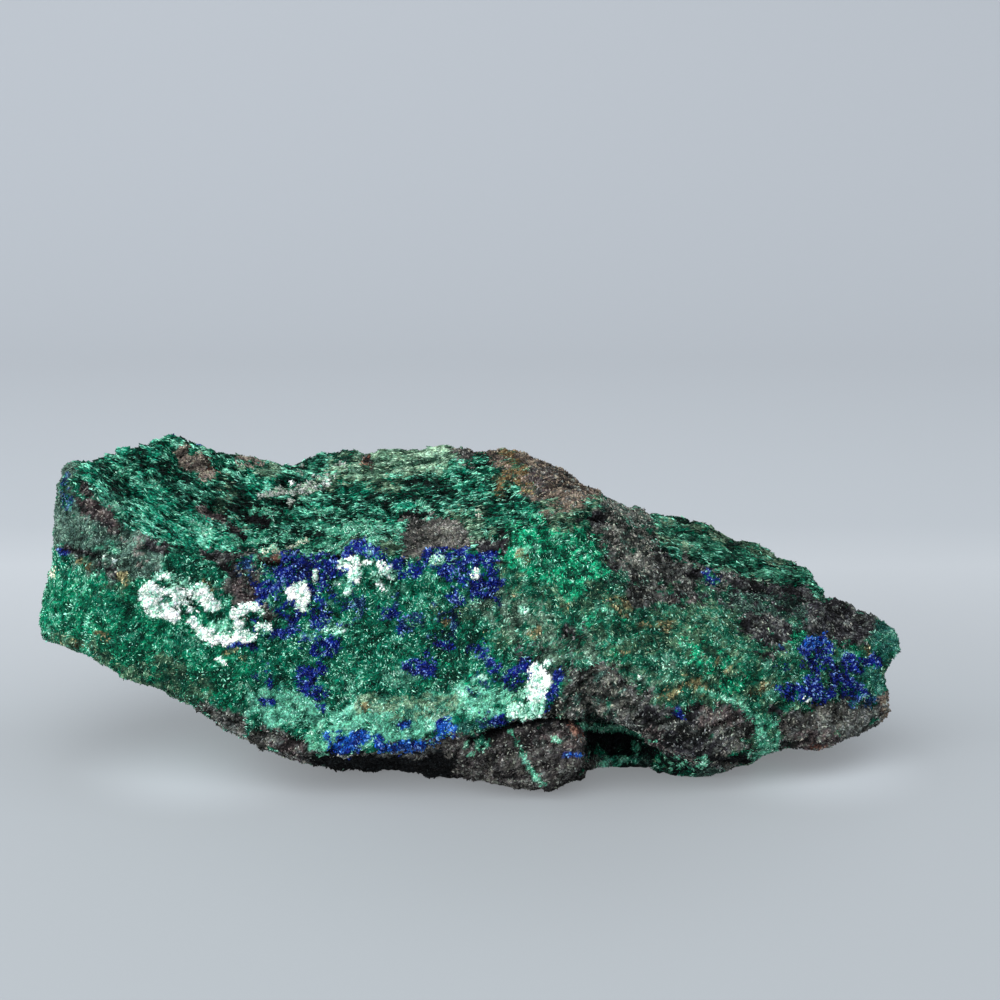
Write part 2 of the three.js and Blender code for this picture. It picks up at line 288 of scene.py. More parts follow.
def smooth_step(low, high, value):
    """Rises from 0 at low to 1 at high."""
    t = np.clip((value - low) / (high - low), 0, 1)
    return t * t * (3 - 2 * t)


# ------------------------------
# The tones that the specimen shows: the colours of a mineral's dark, middling and light grains, which painted shade
# and painted glints also draw on, the kind of grain that it grows as, and the tone and share of the specks in it.

TONES = {
    "rock": ((14, 17, 16), (80, 84, 82), (146, 151, 144), "grain", "stone", 0.1),
    "slate": ((30, 33, 31), (102, 104, 98), (166, 168, 158), "grain", "mottled", 0.12),
    "dark_rock": ((8, 9, 11), (42, 42, 46), (108, 112, 112), "grain", "rock", 0.2),
    "purple_rock": ((24, 21, 22), (80, 72, 72), (140, 136, 130), "grain", "rock", 0.15),
    "stone": ((22, 24, 22), (78, 78, 74), (134, 138, 130), "grain", "rock", 0.18),
    "foot_rock": ((16, 16, 17), (66, 64, 63), (116, 119, 114), "grain", "stone", 0.08),
    "grey_rock": ((44, 46, 44), (98, 96, 92), (144, 146, 138), "grain", "rock", 0.06),
    "brown_plane": ((52, 46, 42), (116, 104, 92), (156, 146, 130), "grain", "rock", 0.1),
    "red_rock": ((40, 26, 22), (104, 72, 62), (164, 136, 120), "grain", "rock", 0.3),
    # Painted shade: near black, laid in cracks, in the cavity and under the rock, where the light hardly reaches.
    "shade": ((1, 2, 3), (7, 9, 11), (22, 28, 30), "grain", "shade", 0),
    # Green malachite darkened nearly to black as painted shade in the cavity.
    "painted_shade_green": ((0, 3, 3), (4, 22, 18), (32, 80, 66), "needle", "shade", 0.3),
    "rust": ((60, 50, 32), (112, 92, 62), (156, 138, 106), "grain", "olive", 0.35),
    "tan": ((58, 54, 36), (124, 119, 86), (196, 188, 148), "grain", "olive", 0.35),
    "panel": ((20, 36, 31), (70, 98, 88), (138, 170, 154), "needle", "mottled", 0.2),
    "mottled": ((10, 26, 23), (54, 82, 74), (140, 176, 160), "needle", "dark_rock", 0.15),
    "olive": ((20, 48, 36), (66, 102, 78), (158, 190, 158), "needle", "slab_green", 0.25),
    "deep_green": ((0, 46, 32), (0, 118, 84), (160, 236, 208), "needle", "bowl_green", 0.12),
    "bowl_green": ((0, 28, 21), (0, 106, 80), (168, 238, 214), "needle", "slab_green", 0.12),
    "bright_green": ((0, 48, 34), (18, 164, 118), (180, 246, 222), "needle", "slab_green", 0.12),
    "slab_green": ((0, 36, 27), (20, 100, 76), (154, 214, 190), "needle", "olive", 0.15),
    "end_green": ((0, 44, 40), (44, 104, 94), (124, 178, 160), "needle", "slab_green", 0.2),
    "sage": ((28, 48, 40), (88, 118, 100), (164, 200, 178), "needle", "slab_green", 0.2),
    "pale_olive": ((62, 92, 72), (116, 152, 124), (176, 208, 182), "needle", "grey_mint", 0.25),
    "grey_mint": ((10, 60, 48), (76, 140, 118), (184, 228, 208), "needle", "slab_green", 0.2),
    "mint": ((36, 112, 88), (112, 190, 160), (204, 250, 232), "needle", "grey_mint", 0.15),
    "trough_green": ((0, 26, 20), (0, 98, 74), (140, 220, 192), "blade", "black_green", 0.15),
    "black_green": ((0, 8, 6), (0, 36, 28), (62, 138, 116), "blade", "trough_green", 0.12),
    "teal": ((0, 50, 40), (20, 148, 116), (146, 232, 204), "blade", "trough_green", 0.15),
    "pale_green": ((34, 66, 52), (98, 140, 116), (176, 212, 184), "blade", "top_olive", 0.2),
    "top_olive": ((22, 44, 34), (72, 100, 80), (144, 174, 146), "blade", "trough_green", 0.15),
    "crest_green": ((0, 22, 17), (14, 76, 58), (78, 144, 118), "blade", "trough_green", 0.15),
    "pale_rock": ((66, 61, 56), (128, 118, 108), (168, 160, 148), "grain", "rock", 0.05),
    "lip_mint": ((60, 128, 106), (106, 184, 158), (172, 236, 214), "needle", "grey_mint", 0.12),
    "grey_white": ((92, 106, 98), (150, 158, 152), (200, 210, 202), "powder", "pale_green", 0.1),
    "cream": ((120, 140, 118), (208, 214, 190), (242, 246, 230), "powder", "grey_mint", 0.15),
    "azurite": ((1, 8, 42), (7, 26, 116), (116, 152, 206), "block", "bowl_green", 0.1),
    "faint_azurite": ((2, 16, 36), (16, 46, 86), (84, 124, 160), "block", "bowl_green", 0.3),
    "cobalt": ((0, 34, 88), (16, 78, 168), (108, 160, 218), "block", "azurite", 0.2),
    "white": ((158, 190, 178), (252, 255, 253), (255, 255, 255), "powder", "white_mint", 0.06),
    "white_mint": ((100, 164, 140), (172, 228, 206), (240, 255, 250), "powder", "mint", 0.2),
}
TONE_NAMES = list(TONES)
DARK, MIDDLE, LIGHT = (np.array([linear(TONES[name][i]) for name in TONE_NAMES]) for i in range(3))
KIND_OF_TONE = np.array([TONES[name][3] for name in TONE_NAMES])
SPECK_OF_TONE = np.array([TONE_NAMES.index(TONES[name][4]) for name in TONE_NAMES])
SPECK_SHARE = np.array([TONES[name][5] for name in TONE_NAMES])
SPECK_SIZE = 0.8

# Where each tone shows. A stroke is half its width in mm, the share of it that is covered, and then x, y, x, y and
# so on: the pixels of the picture that it passes. Each stroke lies over those before it.
STROKES = [
    ("slab_green", [(13, 1, 600, 620, 700, 640, 790, 680), (8, 1, 820, 650, 880, 655)]),
    ("deep_green", [(9, 1, 60, 600, 110, 620, 180, 655, 240, 670), (5, 1, 80, 575, 130, 590)]),
    ("bowl_green", [(9, 1, 290, 610, 400, 640, 490, 640), (5, 1, 280, 680, 400, 690), (2.4, 1, 166, 562, 205, 570)]),
    ("trough_green", [
        (8.5, 1, 110, 470, 170, 490, 240, 510, 330, 500, 430, 490, 490, 480), (3.6, 1, 130, 505, 200, 530, 250, 540),
        (5, 1, 500, 505, 540, 515), (4.4, 1, 650, 530, 700, 545, 760, 565, 800, 582),
    ]),
    ("foot_rock", [(7, 1, 450, 765, 500, 758, 560, 748), (4.5, 1, 530, 775, 570, 760), (3, 1, 400, 752, 440, 752)]),
    # The left end and the front below it.
    ("panel", [
        (5.2, 1, 74, 521, 94, 538, 118, 553), (3.4, 1, 118, 540, 142, 552), (2.6, 1, 98, 565, 124, 568),
        (1.9, 1, 66, 470, 68, 496),
    ]),
    ("grey_rock", [(1.4, 0.35, 122, 532, 146, 546), (1.6, 0.3, 128, 552, 148, 560)]),
    ("purple_rock", [(1.3, 1, 82, 489, 88, 493), (1.7, 1, 86, 503, 97, 508), (1.2, 1, 107, 516, 112, 527)]),
    ("dark_rock", [
        (0.7, 1, 85, 486, 89, 490), (0.7, 1, 104, 525, 110, 527), (1, 1, 151, 543, 165, 547),
        (0.6, 1, 62, 548, 80, 552, 98, 555), (1, 0.7, 100, 566, 112, 570),
    ]),
    ("grey_mint", [
        (0.8, 0.8, 96, 496, 112, 503, 128, 514, 146, 528, 160, 540), (1.2, 0.35, 70, 518, 92, 528),
        (1.5, 0.35, 92, 545, 124, 550),
    ]),
    ("faint_azurite", [(0.9, 1, 68, 499, 70, 504), (0.7, 0.2, 67, 474, 65, 490)]),
    ("azurite", [(0.5, 1, 61, 552, 65, 554)]),
    ("tan", [
        (0.9, 1, 84, 560, 90, 566), (0.7, 1, 122, 576, 127, 582), (0.8, 1, 66, 646, 82, 643),
        (0.8, 0.8, 97, 634, 108, 638), (0.7, 1, 204, 584, 208, 590), (0.8, 0.9, 226, 652, 238, 649),
        (0.6, 1, 244, 657),
    ]),
    ("olive", [
        (1.5, 0.8, 100, 661, 130, 679, 160, 691), (2.4, 0.8, 146, 668, 176, 672), (2.2, 0.8, 178, 684, 206, 693),
        (1.2, 0.7, 52, 640, 90, 646), (1.6, 0.5, 100, 592, 118, 596),
    ]),
    ("bowl_green", [(1.8, 0.7, 60, 566, 74, 572), (2.4, 0.6, 110, 622, 128, 636), (2, 0.6, 180, 640, 196, 648)]),
    ("cream", [(0.4, 0.8, 56, 568, 53, 575)]),
    # The trough, from left to right.
    ("top_olive", [
        (3.2, 0.8, 214, 486, 228, 500, 236, 516), (3.2, 0.7, 340, 472, 362, 484), (3, 0.7, 376, 480, 392, 486),
        (2.4, 0.7, 456, 508, 476, 520), (3.2, 0.9, 545, 492, 580, 492, 600, 500), (2.4, 1, 556, 506, 590, 505),
        (1.2, 0.8, 690, 523, 740, 541, 790, 565), (2.4, 0.8, 388, 546, 404, 550), (1.4, 0.8, 342, 541, 350, 540),
    ]),
    ("pale_green", [
        (4, 1, 352, 456, 392, 453, 436, 453), (1.8, 0.8, 350, 463, 396, 460, 440, 458),
        (0.9, 1, 384, 474, 402, 468, 430, 463), (1.8, 0.8, 246, 465, 268, 471), (2.2, 0.9, 470, 528, 486, 536),
        (2.4, 0.7, 585, 490, 612, 503), (1.4, 0.4, 700, 570, 740, 576, 768, 580), (2, 0.6, 462, 506, 476, 512),
    ]),
    ("black_green", [
        (2.2, 1, 146, 464, 158, 472, 162, 484), (2.2, 0.9, 168, 482, 184, 495), (2, 0.9, 186, 484, 208, 496),
        (1.4, 0.7, 92, 476, 124, 480), (1.2, 0.8, 100, 491, 124, 494), (2.6, 1, 242, 508, 262, 516, 268, 524),
        (1.4, 0.9, 202, 519, 222, 524), (2.8, 0.7, 288, 502, 316, 510), (1.3, 1, 294, 478, 300, 482),
        (2.8, 0.9, 366, 500, 398, 514), (1.8, 1, 400, 510, 420, 512), (2.4, 0.7, 438, 490, 462, 500),
        (1.8, 0.7, 318, 456, 344, 458), (1.6, 1, 484, 454, 500, 451), (1.4, 0.8, 412, 486, 436, 482),
        (1.5, 0.8, 512, 500, 522, 516), (1, 1, 500, 530, 512, 531), (1.6, 0.6, 282, 530, 312, 534),
    ]),
    ("teal", [
        (1.4, 0.85, 86, 470, 104, 482), (1, 0.7, 112, 470, 150, 475), (1.3, 0.75, 134, 487, 152, 490, 168, 500),
        (1.2, 0.7, 138, 499, 165, 508), (2.4, 0.85, 140, 512, 166, 524, 200, 535, 240, 546),
        (1, 0.8, 150, 528, 180, 540, 204, 546), (1.5, 0.9, 184, 516, 200, 523), (2.2, 0.9, 247, 484, 262, 491),
        (1.6, 1, 350, 495, 364, 492), (1.3, 1, 398, 504, 411, 502), (2.2, 0.6, 318, 514, 340, 524),
        (2, 0.7, 380, 520, 402, 530), (1, 1, 458, 478, 462, 485), (1.4, 0.7, 468, 482, 484, 490),
        (1.2, 0.9, 520, 502, 528, 511), (1.4, 0.6, 600, 496, 612, 500), (2.4, 0.5, 120, 452, 150, 448),
    ]),
    ("mint", [
        (0.7, 0.9, 148, 479, 158, 484), (0.6, 0.9, 120, 473, 128, 474), (2, 0.55, 320, 522, 344, 534),
        (1.6, 0.6, 350, 522, 370, 532), (1.4, 0.5, 384, 524, 400, 540), (0.5, 1, 340, 531, 352, 526),
        (2.2, 0.55, 262, 547, 286, 549, 312, 550, 336, 549), (1.2, 0.5, 196, 526, 232, 541),
        (0.6, 0.9, 403, 501, 410, 500), (0.6, 0.8, 454, 480, 458, 482), (1, 0.5, 258, 510, 272, 512),
        (0.8, 0.7, 264, 520, 272, 526), (0.6, 1, 420, 504, 430, 510), (0.5, 0.9, 318, 512, 336, 516),
    ]),
    ("pale_rock", [(1.5, 1, 182, 457, 192, 463, 206, 473), (0.7, 0.8, 238, 461, 258, 462)]),
    ("brown_plane", [
        (3.6, 1, 534, 476, 560, 484), (5, 1, 526, 459, 548, 465, 572, 480), (1.4, 0.9, 462, 450, 480, 450),
    ]),
    ("purple_rock", [(0.9, 1, 200, 509, 214, 516, 228, 524, 240, 532), (1.5, 0.8, 528, 474, 542, 480)]),
    # Painted shade in the trough's cracks.
    ("shade", [
        (0.6, 1, 230, 531, 244, 536), (0.8, 1, 252, 518, 266, 523), (0.6, 1, 502, 532, 514, 533),
        (0.6, 0.9, 404, 514, 418, 515),
    ]),
    ("red_rock", [(0.5, 0.7, 210, 468, 220, 472), (0.8, 0.8, 364, 462, 372, 465)]),
    ("rust", [
        (1.8, 0.9, 503, 481, 512, 475, 520, 469), (1.3, 0.9, 508, 453, 516, 463), (0.9, 0.7, 524, 487, 530, 488),
        (0.8, 0.7, 500, 488, 503, 492),
    ]),
    ("grey_white", [
        (0.6, 0.9, 262, 497, 276, 494, 290, 491), (0.65, 0.9, 296, 492, 320, 489), (0.4, 0.8, 303, 486, 316, 485),
        (1.2, 0.25, 306, 470, 330, 471), (0.4, 0.6, 324, 479, 334, 477), (0.6, 0.9, 342, 464, 344, 468),
        (0.6, 1, 289, 503, 292, 500),
    ]),
    ("cream", [(0.3, 1, 287, 547, 296, 545, 307, 541), (0.25, 1, 264, 554, 274, 551, 283, 556), (0.5, 1, 480, 516)]),
    ("grey_rock", [
        (2.6, 1, 422, 531, 440, 528, 452, 534), (3, 1, 418, 542, 440, 542, 456, 544), (1.6, 1, 408, 553, 428, 551),
        (1.4, 0.8, 462, 456, 470, 456),
    ]),
    # The rock between the trough and the face, and the dark rock of the right half.
    ("rock", [
        (1, 1, 206, 555, 232, 556, 252, 555), (1.7, 1, 240, 568, 250, 578), (2.7, 1, 236, 588, 247, 598),
        (1.4, 0.9, 264, 610, 270, 618), (3, 1, 636, 562, 660, 566, 684, 575), (1.8, 0.6, 660, 586, 692, 590),
        (2.2, 0.9, 722, 582, 760, 587, 778, 592), (2.8, 0.8, 610, 545, 622, 560),
        (3, 1, 540, 716, 562, 704, 580, 688, 594, 672), (3.4, 1, 592, 692, 612, 684, 630, 700),
        (3, 1, 618, 720, 650, 724, 664, 730), (1.6, 0.8, 540, 656, 570, 640), (2.2, 1, 262, 735, 292, 746, 320, 756),
        (1.6, 1, 205, 705, 222, 716, 240, 726), (0.8, 1, 330, 757, 380, 756, 430, 750),
    ]),
    ("dark_rock", [
        (0.7, 1, 206, 553, 228, 558), (0.9, 1, 222, 566, 230, 572), (1.8, 0.5, 612, 562, 618, 574),
        # The line from 776, 592 to 806, 596 is painted shadow under the right slab's overhang.
        (1, 0.9, 650, 599, 692, 598), (1, 1, 654, 552, 664, 554), (1.2, 1, 776, 592, 806, 596),
        (2.4, 0.8, 748, 628, 760, 636, 776, 642), (3.4, 0.9, 806, 612, 820, 622),
        (4.2, 1, 832, 616, 852, 624, 868, 630), (2.2, 0.8, 832, 636, 856, 640), (1.8, 1, 484, 548, 500, 546),
        (1.2, 1, 490, 556, 504, 558), (3.2, 1, 672, 744, 700, 746, 716, 748), (0.9, 1, 782, 742, 820, 742, 850, 740),
        (1, 0.8, 770, 708, 790, 716), (1.4, 0.8, 522, 642, 526, 656), (1.6, 0.6, 566, 632, 590, 636),
    ]),
    ("mottled", [
        (3.4, 0.8, 742, 600, 790, 612), (2.6, 0.7, 770, 622, 796, 626), (2.6, 0.8, 554, 656, 560, 674),
        (2.4, 0.8, 586, 712, 604, 716), (2.8, 0.6, 690, 590, 716, 594), (2.6, 0.7, 600, 590, 626, 582),
    ]),
    ("stone", [
        (1.8, 1, 548, 708, 574, 694, 596, 670), (3.4, 1, 796, 726, 822, 722, 846, 724), (2.4, 1, 796, 736, 830, 736),
        (2.2, 0.8, 722, 728, 744, 744), (1.8, 0.7, 720, 756, 734, 764), (1.6, 1, 256, 736, 264, 742),
    ]),
    ("purple_rock", [
        (2.2, 0.9, 728, 716, 748, 730), (1.6, 0.9, 800, 738, 836, 738), (1, 1, 808, 746, 824, 748),
        (0.9, 0.8, 668, 603, 690, 602), (1.8, 0.8, 244, 590, 250, 600), (2.4, 0.5, 540, 742, 566, 736),
        (1.4, 0.8, 274, 744, 300, 752),
    ]),
    ("red_rock", [
        (0.8, 1, 267, 561, 278, 558), (1, 1, 573, 728, 579, 737), (0.6, 0.9, 700, 604, 704, 606),
        (0.8, 0.8, 814, 747, 824, 748),
    ]),
    ("brown_plane", [(1.6, 0.8, 548, 520, 566, 518)]),
    ("top_olive", [(1.6, 0.8, 556, 526, 572, 522)]),
    ("crest_green", [(3, 1, 655, 528, 700, 542, 750, 560, 795, 578)]),
    ("top_olive", [(0.8, 0.8, 664, 522, 700, 531, 740, 546, 786, 566), (0.8, 0.7, 652, 540, 700, 548)]),
    # The face's minerals.
    ("bright_green", [
        (4.4, 1, 532, 548, 556, 560, 574, 574), (3.2, 1, 584, 548, 590, 574), (2.4, 0.8, 530, 536, 548, 540),
        (2.4, 0.7, 690, 640, 700, 652, 738, 676), (1.3, 1, 792, 640, 800, 636), (1.6, 0.8, 612, 640, 616, 652),
        (1, 0.8, 852, 648, 860, 654), (1.2, 0.8, 724, 686, 748, 684), (2.4, 0.4, 420, 676, 470, 672),
        (2, 0.4, 596, 622, 630, 630),
    ]),
    ("mint", [(3.2, 0.14, 526, 550, 560, 562, 590, 578)]),
    ("olive", [
        (3, 0.35, 640, 612, 680, 630, 720, 655), (2, 0.6, 440, 606, 474, 614), (2.4, 0.5, 600, 642, 650, 656),
        (2, 0.5, 735, 622, 750, 640), (2.2, 0.6, 506, 640, 530, 650), (2, 0.6, 580, 600, 610, 596),
        (2.2, 0.5, 760, 640, 778, 652), (1.6, 0.8, 866, 650, 884, 654), (1.6, 0.6, 700, 690, 716, 684),
        (2.2, 0.5, 640, 690, 668, 694),
    ]),
    ("grey_mint", [
        (2.2, 0.4, 466, 596, 494, 620), (2, 0.5, 576, 655, 592, 662), (2.2, 0.6, 236, 694, 262, 702),
        (2.2, 0.45, 312, 614, 340, 628), (1.6, 0.6, 384, 592, 400, 588), (1.8, 0.5, 650, 668, 662, 662),
        (2.2, 0.45, 384, 664, 400, 680), (1.6, 0.5, 336, 664, 346, 676), (1.4, 0.5, 770, 670, 776, 690),
    ]),
    ("sage", [
        (3.6, 0.8, 500, 602, 530, 622, 546, 634), (2.4, 0.7, 556, 650, 590, 650), (2.6, 0.5, 632, 672, 668, 682),
    ]),
    ("tan", [
        (1.3, 0.9, 618, 606, 628, 612), (0.8, 0.8, 642, 626, 656, 626), (0.8, 0.9, 664, 628, 670, 626),
        (0.7, 1, 531, 634, 538, 632), (0.5, 1, 446, 622), (0.5, 1, 484, 630), (0.6, 0.9, 624, 652, 630, 656),
        (1.2, 0.7, 666, 692, 676, 690), (1, 0.7, 696, 682, 702, 690), (0.7, 1, 718, 660), (0.5, 1, 728, 671),
        (0.8, 0.8, 752, 690, 764, 686), (0.6, 0.8, 684, 672, 688, 676), (1.1, 0.8, 870, 650, 882, 655),
        (0.7, 0.8, 560, 602, 566, 606), (0.5, 0.5, 520, 553, 526, 560), (0.7, 0.7, 602, 602, 632, 598),
        (0.6, 0.8, 510, 586, 513, 594),
    ]),
    # The right end.
    ("slab_green", [(1.2, 1, 820, 603, 830, 604)]),
    ("end_green", [
        (3, 1, 884, 632, 890, 646), (3.6, 0.9, 846, 672, 866, 686, 876, 692), (2.2, 0.8, 836, 676, 846, 690),
        (1.6, 0.8, 462, 722, 500, 724),
    ]),
    ("rock", [(2.6, 1, 856, 714, 872, 714, 884, 708), (2, 1, 850, 734, 868, 730), (1.6, 1, 880, 716, 886, 704)]),
    ("brown_plane", [(1.2, 1, 881, 700, 886, 714)]),
    # The cavity, and painted shade in it, along the foot's crack and under the rock.
    ("bowl_green", [(2.2, 0.6, 598, 752, 640, 756), (1.8, 0.8, 626, 738, 642, 748), (2, 0.5, 650, 764, 690, 766)]),
    ("painted_shade_green", [
        (2.4, 1, 588, 740, 604, 738, 620, 740), (1.4, 1, 588, 730, 640, 738), (1.4, 1, 644, 750, 656, 752),
        (1.1, 0.6, 600, 768, 640, 768, 676, 772), (1.6, 0.7, 664, 760, 700, 762), (1, 0.8, 740, 757, 756, 758),
    ]),
    # Painted shade under the rock, in the cavity and along cracks.
    ("shade", [
        (2.4, 1, 330, 765, 380, 768, 440, 767), (1, 1, 590, 734, 612, 736, 626, 738),
        (0.6, 1, 470, 741, 500, 731, 524, 724, 552, 721, 580, 722), (0.6, 1, 567, 708, 567, 717, 574, 718),
        (0.7, 1, 696, 756, 730, 758, 750, 759),
    ]),
    # The lower lip, and mint in veins.
    ("lip_mint", [
        (3.2, 0.9, 270, 702, 300, 714, 336, 722, 384, 722), (3, 1, 398, 730, 436, 722),
        (2.6, 0.9, 440, 706, 470, 706, 500, 700),
    ]),
    ("mint", [
        (1.5, 1, 314, 734, 319, 743), (2.2, 0.2, 440, 690, 470, 694), (2.2, 0.4, 340, 692, 376, 694),
        (1.6, 0.5, 208, 628, 232, 626), (0.4, 1, 508, 730, 518, 742, 522, 752, 528, 765, 535, 775, 541, 784),
        (0.8, 1, 536, 776, 543, 784), (0.5, 1, 583, 726, 600, 729, 620, 728, 640, 734, 656, 741),
        (0.4, 0.9, 700, 690, 722, 697, 740, 704, 752, 716), (1, 0.6, 470, 748, 484, 744),
        (0.6, 0.25, 548, 736, 560, 742), (2.4, 0.7, 760, 728, 768, 742, 762, 752), (1.2, 0.2, 600, 753, 650, 758),
        (1, 0.25, 650, 762, 700, 764), (1, 0.7, 676, 754, 704, 758), (0.7, 0.7, 596, 606, 612, 610),
        (0.6, 0.8, 634, 742, 638, 750), (0.8, 0.6, 600, 766, 608, 760),
    ]),
    ("pale_olive", [(1.5, 0.85, 362, 705, 400, 705, 450, 704), (1.3, 0.6, 398, 716, 440, 712)]),
    ("tan", [(0.8, 0.4, 362, 708, 376, 714)]),
    # Painted shade in the crack under the rim.
    ("shade", [(0.35, 0.9, 262, 564, 285, 562, 310, 560, 345, 557)]),
    # Rock over the edges of those greens.
    ("rock", [
        (2.8, 1, 636, 722, 668, 726, 700, 738), (2.4, 0.9, 706, 724, 742, 738),
        (2.6, 1, 636, 566, 664, 570, 684, 578), (1.4, 1, 634, 596, 664, 600),
    ]),
    ("purple_rock", [(1.8, 0.8, 650, 742, 690, 750), (1.6, 0.7, 700, 716, 732, 722)]),
    ("slate", [
        (2.4, 1, 602, 520, 624, 532, 642, 548), (1.6, 1, 608, 506, 626, 514, 646, 522), (2, 1, 620, 552, 640, 566),
        (2.2, 1, 598, 676, 612, 692, 622, 704), (2.2, 1, 560, 706, 578, 700, 600, 706),
    ]),
    ("dark_rock", [
        (1.4, 0.9, 650, 712, 690, 714), (1.1, 1, 584, 519, 598, 521),
        # The line from 690, 573 to 806, 592 is painted shadow along the crack under the right slab's overhang.
        (0.8, 1, 690, 573, 706, 572, 720, 578, 745, 584, 775, 588, 806, 592), (1.6, 1, 672, 744, 700, 748),
        (2.4, 1, 822, 612, 842, 618, 858, 628), (2, 0.9, 752, 626, 780, 634),
    ]),
    # Azurite and white carbonate, with gaps and flecks in the white.
    ("faint_azurite", [
        (1.6, 0.8, 246, 566, 268, 572), (3, 0.4, 336, 590, 352, 604), (3, 0.35, 400, 606, 440, 622),
        (1.6, 0.6, 262, 674, 272, 684), (2, 0.5, 284, 632, 304, 630), (1.4, 0.6, 380, 612, 400, 622),
        (1.8, 0.4, 480, 682, 516, 682), (1.4, 0.5, 484, 720, 508, 720), (1.4, 0.6, 860, 697, 868, 700),
        (1.8, 0.5, 782, 662, 800, 660),
    ]),
    ("azurite", [
        (1.9, 1, 288, 568, 312, 566, 336, 567), (1.5, 1, 284, 576, 292, 578), (1.4, 0.9, 318, 572, 334, 574),
        (1.1, 1, 346, 556, 356, 549, 366, 550, 382, 558), (2, 1, 396, 566, 414, 570),
        (1, 1, 430, 557, 446, 552, 470, 553, 482, 558), (3.2, 0.85, 450, 566, 468, 572, 482, 574),
        (1.7, 0.95, 478, 588, 486, 590), (1.2, 0.8, 454, 592, 460, 600), (0.6, 1, 503, 581, 502, 584),
        (0.7, 1, 497, 600, 498, 604), (1.6, 0.9, 312, 594, 316, 602), (1.4, 0.9, 264, 588, 274, 592),
        (1.4, 0.9, 284, 612, 298, 613), (0.7, 1, 258, 602, 261, 600), (3, 0.4, 276, 592, 300, 614, 322, 600),
        (1.6, 0.6, 306, 642, 314, 640), (1.5, 0.95, 322, 650, 334, 642), (1.5, 0.7, 284, 634, 300, 632),
        (1.3, 1, 302, 672, 314, 676), (0.8, 1, 321, 664, 322, 672), (1.4, 0.9, 306, 684, 320, 694),
        (0.8, 0.9, 320, 706, 322, 710), (1, 0.7, 264, 680, 270, 684), (0.8, 0.9, 264, 702, 273, 703),
        (1, 1, 405, 666, 414, 666), (0.9, 1, 427, 648, 430, 662, 428, 672), (0.8, 1, 434, 644, 452, 648),
        (0.8, 1, 470, 649, 480, 646), (0.8, 1, 482, 642, 487, 652), (1.3, 1, 486, 660, 496, 668),
        (1.5, 1, 514, 676, 526, 672), (1.3, 0.5, 388, 614, 400, 616), (0.8, 0.6, 400, 628, 403, 634),
        (1.8, 0.35, 312, 620, 348, 616), (1.2, 1, 558, 680, 554, 694, 546, 704), (1, 1, 230, 645, 240, 643),
        (0.8, 1, 248, 643, 252, 648), (0.5, 1, 253, 620, 258, 619), (0.6, 1, 257, 632, 261, 634),
        (0.75, 1, 708, 576, 716, 581), (0.75, 1, 676, 711, 680, 716), (1.4, 1, 808, 650, 826, 652),
        (1.1, 0.9, 810, 660, 812, 668), (1.5, 0.9, 826, 668, 833, 674), (1.7, 0.8, 812, 678, 820, 690),
        (1.5, 0.95, 788, 695, 804, 694, 820, 692), (1.1, 0.9, 848, 662, 862, 661), (1, 1, 870, 662, 876, 664),
        (0.8, 0.7, 852, 670, 862, 671), (0.9, 0.9, 843, 678, 848, 681), (1.2, 0.8, 848, 686, 856, 690),
        (1.3, 0.35, 786, 658, 800, 664), (1.4, 0.7, 436, 734, 450, 727), (0.8, 0.8, 494, 722, 508, 717),
    ]),
    ("cobalt", [
        (1.1, 0.6, 330, 736, 342, 736), (1.2, 0.75, 336, 746, 351, 746), (0.8, 1, 356, 736, 366, 735),
        (0.8, 1, 380, 738, 381, 748), (1, 1, 390, 748, 404, 746, 420, 744), (1.2, 0.65, 434, 738, 450, 728),
        (0.6, 1, 403, 725, 408, 724), (0.45, 1, 566, 755, 578, 754), (1.3, 0.8, 813, 642, 821, 640),
    ]),
    ("white_mint", [
        (1.4, 0.75, 178, 588, 196, 590), (0.9, 0.7, 158, 580, 170, 576), (2, 1, 518, 708, 532, 706),
        (1.6, 1, 524, 696, 534, 692), (1.3, 0.7, 216, 634, 226, 636), (0.4, 0.7, 464, 706, 468, 708),
        (0.4, 0.7, 481, 676, 484, 678), (1, 0.35, 330, 628, 336, 632), (1.4, 0.8, 350, 566, 356, 574),
        (0.9, 0.7, 374, 574, 380, 580), (0.6, 0.8, 433, 561, 440, 562), (1, 0.6, 344, 590, 346, 588),
        (0.5, 1, 95, 574), (0.6, 0.8, 524, 610),
    ]),
    ("white", [
        (0.9, 0.8, 180, 592, 194, 595), (0.9, 1, 143, 592, 150, 589, 158, 591), (0.6, 1, 141, 597, 147, 601),
        (0.8, 1, 156, 596, 160, 598), (1.1, 0.95, 152, 609, 162, 612, 173, 616), (0.7, 0.9, 146, 604, 158, 604),
        (0.8, 1, 174, 595, 177, 604), (0.4, 0.8, 160, 580, 168, 577), (1.1, 1, 200, 594, 207, 600),
        (0.8, 1, 210, 605, 217, 607), (0.9, 1, 196, 627, 204, 635, 214, 640), (0.6, 0.9, 200, 629, 212, 634),
        (1.1, 1, 228, 641, 238, 635, 248, 637), (0.9, 1, 240, 628, 246, 638), (0.9, 1, 234, 614, 243, 608, 254, 607),
        (0.6, 1, 254, 608, 262, 612), (0.7, 1, 258, 626, 268, 625), (0.5, 1, 220, 660, 224, 663),
        (1, 1, 293, 592, 300, 590), (0.8, 1, 302, 586, 304, 598), (0.7, 1, 302, 604, 304, 609),
        (1, 0.85, 344, 564, 357, 561), (0.9, 0.9, 349, 570, 355, 576), (0.5, 0.9, 364, 561, 370, 563),
        (0.75, 0.95, 382, 565, 387, 571, 392, 577), (0.6, 1, 378, 584, 384, 589), (0.7, 1, 334, 581, 339, 584),
        (0.4, 1, 315, 572, 315, 577), (0.5, 0.9, 475, 572, 476, 575), (0.4, 1, 104, 557), (0.4, 1, 114, 560),
